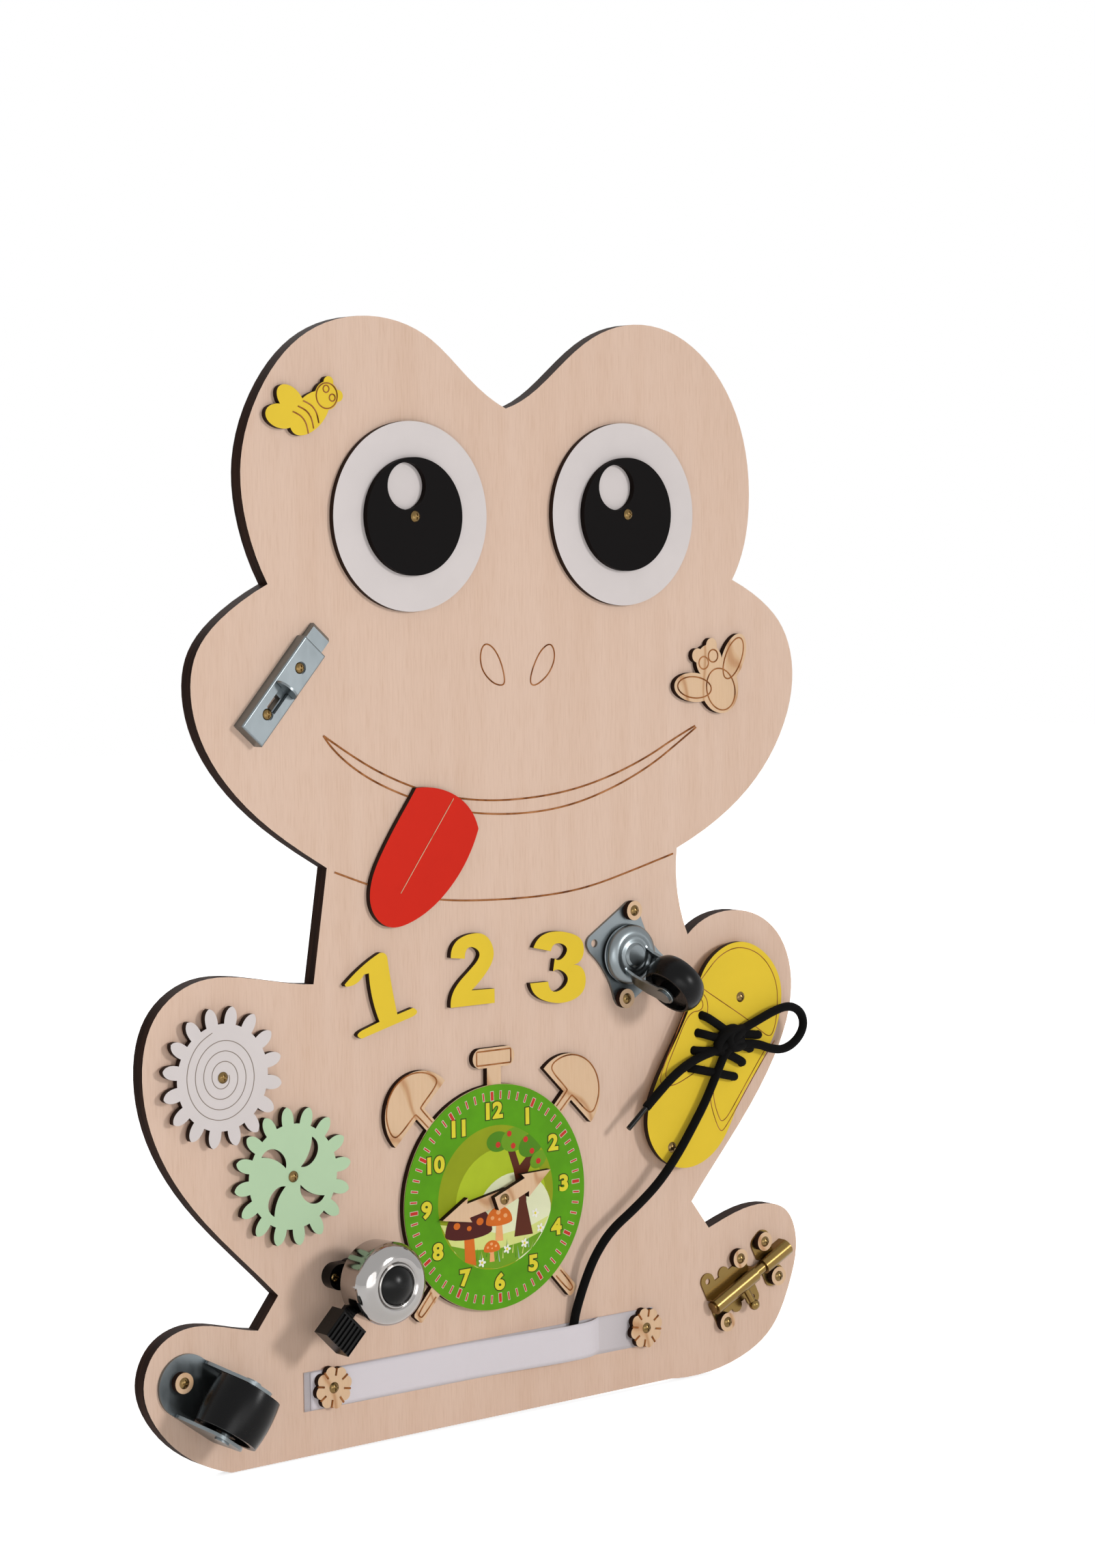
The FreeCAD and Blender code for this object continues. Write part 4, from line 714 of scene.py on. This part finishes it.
def engrave_bugs():
    """Rings and stripes on the two bug plaques."""
    for i, u in enumerate((-9.0, -4.0, 1.0)):
        bend = [(u, -8.6), (u + 2.6, -4.0), (u + 3.2, 0.0), (u + 2.6, 4.0), (u, 8.6)]
        burn("bee_stripe_%d" % i, placed(BEE_AT, BEE_TURN, bend), TRIM, LINE_TRIM)
    head = oval((16.2, 0), 7.8, 7.8, 0, 14)
    burn("bee_head", placed(BEE_AT, BEE_TURN, head), TRIM, LINE_FINE, True)
    for s in (1, -1):
        eye = oval((18.5, 3.4 * s), 2.2, 2.2, 0, 10)
        burn("bee_eye_%d" % (s > 0), placed(BEE_AT, BEE_TURN, eye), TRIM, LINE_FINE, True)
    belly = oval((-3.0, 0), 14.5, 12.0, 0, 16)
    burn("fly_belly", placed(FLY_AT, FLY_TURN, belly), TRIM, LINE_TRIM, True)
    for s in (1, -1):
        eye = oval((19.5, 4.6 * s), 4.2, 4.2, 0, 12)
        burn("fly_eye_%d" % (s > 0), placed(FLY_AT, FLY_TURN, eye), TRIM, LINE_TRIM, True)
        tip = polar((-4.0, 0.0), 23.4, FLY_WING_TURN * s)
        wing = oval(tip, 14.75, 7.0, FLY_WING_TURN * s, 16)
        burn("fly_wing_%d" % (s > 0), placed(FLY_AT, FLY_TURN, wing), TRIM, LINE_TRIM, True)


def engrave_shoe():
    for name, points in SHOE_SEAMS.items():
        burn(name, points, SHOE_TOP, LINE_SEAM)


def engrave_flowers():
    """Burnt petal lines from the middle of each flower to the dips in its rim."""
    for side, (x, y, top) in FLOWERS.items():
        for i in range(PETALS):
            points = [polar((x, y), r, 360.0 * i / PETALS + PETAL_TURN) for r in PETAL_RADII]
            burn("petal_line_%s_%d" % (side, i), points, top, LINE_PETAL)


def lathe(name, profile, centre, body, material):
    """Turned ring on an axis square to the board: the closed profile gives (radius, height)."""
    bm = bmesh.new()
    rings = []
    for i in range(TURNED_STEPS):
        angle = 360.0 * i / TURNED_STEPS
        rings.append([bm.verts.new(at(*polar(centre, r, angle), h)) for r, h in profile])
    for here, after in zip(rings, rings[1:] + rings[:1]):
        for k in range(len(profile)):
            n = (k + 1) % len(profile)
            bm.faces.new((here[k], here[n], after[n], after[k]))
    link_piece(name, settled(name, bm, smooth=True), body, material)


def dress_bell():
    """Chrome bead round the bell's black cap."""
    profile = [polar((BEAD_R, BEAD_H), BEAD_T, 30.0 * i) for i in range(12)]
    lathe("bell_bead", profile, BELL_AT, "board", library["chrome"])


def arm_outline():
    """Side view of one arm of the fork: (distance from the swivel's axis, height)."""
    ring = [(-1.0, FORK_TOP + 1.2), (3.0, FORK_TOP + 2.4), (7.0, FORK_TOP + 6.0), (10.5, FORK_TOP + 12.0)]
    ring += [polar((AXLE_X, AXLE_H), FORK_EYE_R, 195.0 - 200.0 * i / 14) for i in range(15)]
    ring += [(26.5, FORK_TOP + 18.0), (22.5, FORK_TOP + 9.5), (18.0, FORK_TOP + 3.5), (15.5, FORK_TOP + 0.8)]
    return ring


def make_fork():
    """Pressed fork of the swivel caster: a stepped crown and two tapering arms."""
    zinc = library["zinc"]
    bm = bmesh.new()
    for side in (1, -1):
        sheets = []
        for v in (ARM_INNER * side, (ARM_INNER + FORK_SHEET) * side):
            sheets.append([bm.verts.new(at(*local(CASTER, FORK_TURN, u, v), h)) for u, h in arm_outline()])
        inner, outer = sheets
        bm.faces.new(inner)
        bm.faces.new(outer)
        for i in range(len(inner)):
            k = (i + 1) % len(inner)
            bm.faces.new((inner[i], inner[k], outer[k], outer[i]))
    arms = link_piece("pressed_fork", settled("pressed_fork", bm), "caster_fork", zinc)
    bevel = arms.modifiers.new("rolled_edges", "BEVEL")
    bevel.width = 0.5 * MM
    bevel.segments = 2
    bevel.limit_method = "ANGLE"
    steps = [(6.2, 2.0), (7.4, 2.9), (8.6, 2.9), (9.8, 2.0), (12.0, 1.9), (13.2, 2.7), (14.8, 2.6),
             (16.8, 1.6), (18.4, 0.4), (19.4, -1.6), (19.5, -3.4), (17.8, -3.4), (17.2, -0.6), (15.0, 0.2),
             (6.2, 0.3)]
    lathe("fork_crown", [(r, FORK_TOP + h) for r, h in steps], CASTER, "caster_fork", zinc)
    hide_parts("caster_fork")


def lace_piece(name, routes):
    curve = swept(name, routes, LACE_SEEN_R, 4, 10)
    curve.use_fill_caps = True
    return link_piece(name, curve, "board", library["lace"])


def lace_rungs():
    """Strands from hole to hole, drawn towards the knot as the number of their row says."""
    top = SHOE_TOP + LACE_R + 0.5
    rungs = []
    for i, pull in enumerate(RUNG_PULL):
        left, right = [(x + i * dx, y + i * dy) for (x, y), (dx, dy) in LACE_ROWS]
        bar = [(*left, LACE_HOLE_H), (*left, top)]
        for t in (0.12, 0.35, 0.65, 0.88):
            draw = pull * math.sin(math.pi * t)
            x = left[0] + (right[0] - left[0]) * t
            y = left[1] + (right[1] - left[1]) * t
            bar.append((x + (KNOT_AT[0] - x) * draw, y + (KNOT_AT[1] - y) * draw, top + 0.5))
        rungs.append(bar + [(*right, top), (*right, LACE_HOLE_H)])
    return rungs


def make_lace():
    for name, solid, route, far, with_pieces in (
            ("lace_loop_cord", "lace_loop", LOOP_ROUTE, "object", []),
            ("lace_long_cord", "lace_long_end", LONG_ROUTE, "object", []),
            ("lace_short_cord", "lace_short_end", SHORT_ROUTE, "fitting", [nodes["lace_aglet"]])):
        obj = lace_piece(name, [route])
        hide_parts(solid)
    obj = lace_piece("lace_crossings", [*lace_rungs(), *KNOT_ROUTES])
    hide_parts("lace_lacing")


def ribbon_mesh(name, path, half, thickness, skew=0.0, waves=0.0):
    """Strip of cloth along X: path gives (x, height) of its underside."""
    bm = bmesh.new()
    across = 8
    last = len(path) - 1
    grids = []
    for layer in (0.0, thickness):
        grid = []
        for i, (x, h) in enumerate(path):
            low = STRAP_MID - half + skew * i / last
            row = []
            for j in range(across + 1):
                v = j / across
                sag = waves * math.sin(i * 0.9) * (v - 0.5)
                row.append(bm.verts.new(at(x, low + 2 * half * v, h + layer + sag)))
            grid.append(row)
        grids.append(grid)
    under, over = grids
    for i in range(last):
        for j in range(across):
            bm.faces.new((over[i][j], over[i + 1][j], over[i + 1][j + 1], over[i][j + 1]))
            bm.faces.new((under[i][j], under[i][j + 1], under[i + 1][j + 1], under[i + 1][j]))
        for j in (0, across):
            bm.faces.new((under[i][j], under[i + 1][j], over[i + 1][j], over[i][j]))
    for i in (0, last):
        for j in range(across):
            bm.faces.new((under[i][j], under[i][j + 1], over[i][j + 1], over[i][j]))
    return settled(name, bm, smooth=True)


def smooth_path(points, steps):
    """Points along a soft curve through the given ones."""
    out = []
    last = len(points) - 1
    for i in range(last):
        before = points[max(i - 1, 0)]
        a = points[i]
        b = points[i + 1]
        after = points[min(i + 2, last)]
        for k in range(steps):
            t = k / steps
            place = []
            for p, q, r, s in zip(before, a, b, after):
                place.append(0.5 * (2 * q + (r - p) * t + (2 * p - 5 * q + 4 * r - s) * t * t
                                    + (3 * q - p - 3 * r + s) * t * t * t))
            out.append(tuple(place))
    out.append(points[-1])
    return out


def make_strap():
    """Woven base strip, and a smooth ribbon on it that bulges over the lace."""
    left, right = STRAP_ENDS
    flat = [(left, 0.0), (-80.0, 0.0), (20.0, 0.0), (right, 0.0)]
    mesh = ribbon_mesh("hook_strip", flat, STRAP_HALF, STRAP_T)
    obj = link_piece("hook_strip", mesh, "board", library["white_tape"])
    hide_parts("strap_base")
    path = smooth_path(RIBBON_CREST, 12)
    mesh = ribbon_mesh("ribbon", path, RIBBON_HALF, RIBBON_T, RIBBON_SKEW, RIBBON_WAVES)
    smooth = woven("white_ribbon", srgb(228, 221, 226), 2400.0, 0.12)
    obj = link_piece("ribbon", mesh, "board", smooth)
    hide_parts("strap_ribbon")


def seen_rays(tree):
    """1 for rays from the camera and for what gloss and glass show, 0 for the light itself."""
    path = tree.nodes.new("ShaderNodeLightPath")
    total = path.outputs["Is Camera Ray"]
    for name in ("Is Glossy Ray", "Is Transmission Ray"):
        either = tree.nodes.new("ShaderNodeMath")
        either.operation = "MAXIMUM"
        tree.links.new(total, either.inputs[0])
        tree.links.new(path.outputs[name], either.inputs[1])
        total = either.outputs[0]
    return total


def make_stage():
    """Pale floor under the lowest point, lifted to white where it is only seen."""
    mat = bpy.data.materials.new("pale_floor")
    mat.use_nodes = True
    tree = mat.node_tree
    shader = tree.nodes["Principled BSDF"]
    shader.inputs["Base Color"].default_value = (FLOOR_GREY, FLOOR_GREY, FLOOR_GREY, 1)
    shader.inputs["Roughness"].default_value = 0.9
    shader.inputs["Specular IOR Level"].default_value = 0.0
    shader.inputs["Emission Color"].default_value = (1, 1, 1, 1)
    lift = tree.nodes.new("ShaderNodeMath")
    lift.operation = "MULTIPLY"
    lift.inputs[1].default_value = FLOOR_LIFT
    tree.links.new(seen_rays(tree), lift.inputs[0])
    tree.links.new(lift.outputs[0], shader.inputs["Emission Strength"])
    low = cad_box[0][2] - MM
    mesh = bpy.data.meshes.new("floor")
    corners = [(x * FLOOR_SIZE, y * FLOOR_SIZE, low) for x, y in ((-1, -1), (1, -1), (1, 1), (-1, 1))]
    mesh.from_pydata(corners, [], [(0, 1, 2, 3)])
    mesh.materials.append(mat)
    floor = bpy.data.objects.new("floor", mesh)
    bpy.context.scene.collection.objects.link(floor)


def make_light():
    """Soft studio: a dim world that is seen as white, and four round lamps aimed at the middle."""
    world = bpy.data.worlds.new("studio")
    bpy.context.scene.world = world
    world.use_nodes = True
    tree = world.node_tree
    background = tree.nodes["Background"]
    background.inputs["Color"].default_value = (1, 1, 1, 1)
    mix = tree.nodes.new("ShaderNodeMath")
    mix.operation = "MULTIPLY_ADD"
    mix.inputs[1].default_value = 1.0 - AMBIENT
    mix.inputs[2].default_value = AMBIENT
    tree.links.new(seen_rays(tree), mix.inputs[0])
    tree.links.new(mix.outputs[0], background.inputs["Strength"])
    for name, lamp in LAMPS.items():
        data = bpy.data.lights.new(name, "AREA")
        data.size = lamp["size"]
        data.shape = "DISK"
        data.energy = lamp["power"]
        obj = bpy.data.objects.new(name, data)
        obj.location = lamp["at"]
        obj.rotation_euler = (-Vector(lamp["at"])).to_track_quat("-Z", "Y").to_euler()
        bpy.context.scene.collection.objects.link(obj)


bpy.context.scene.view_settings.view_transform = "Standard"
make_camera()
library = make_materials()
engraving = burnt_line()
dress_nodes()
make_lace()
make_strap()
engrave_face()
spiral()
engrave_clock()
make_dial()
garden()
engrave_bugs()
engrave_shoe()
engrave_flowers()
dress_bell()
make_fork()
make_stage()
make_light()
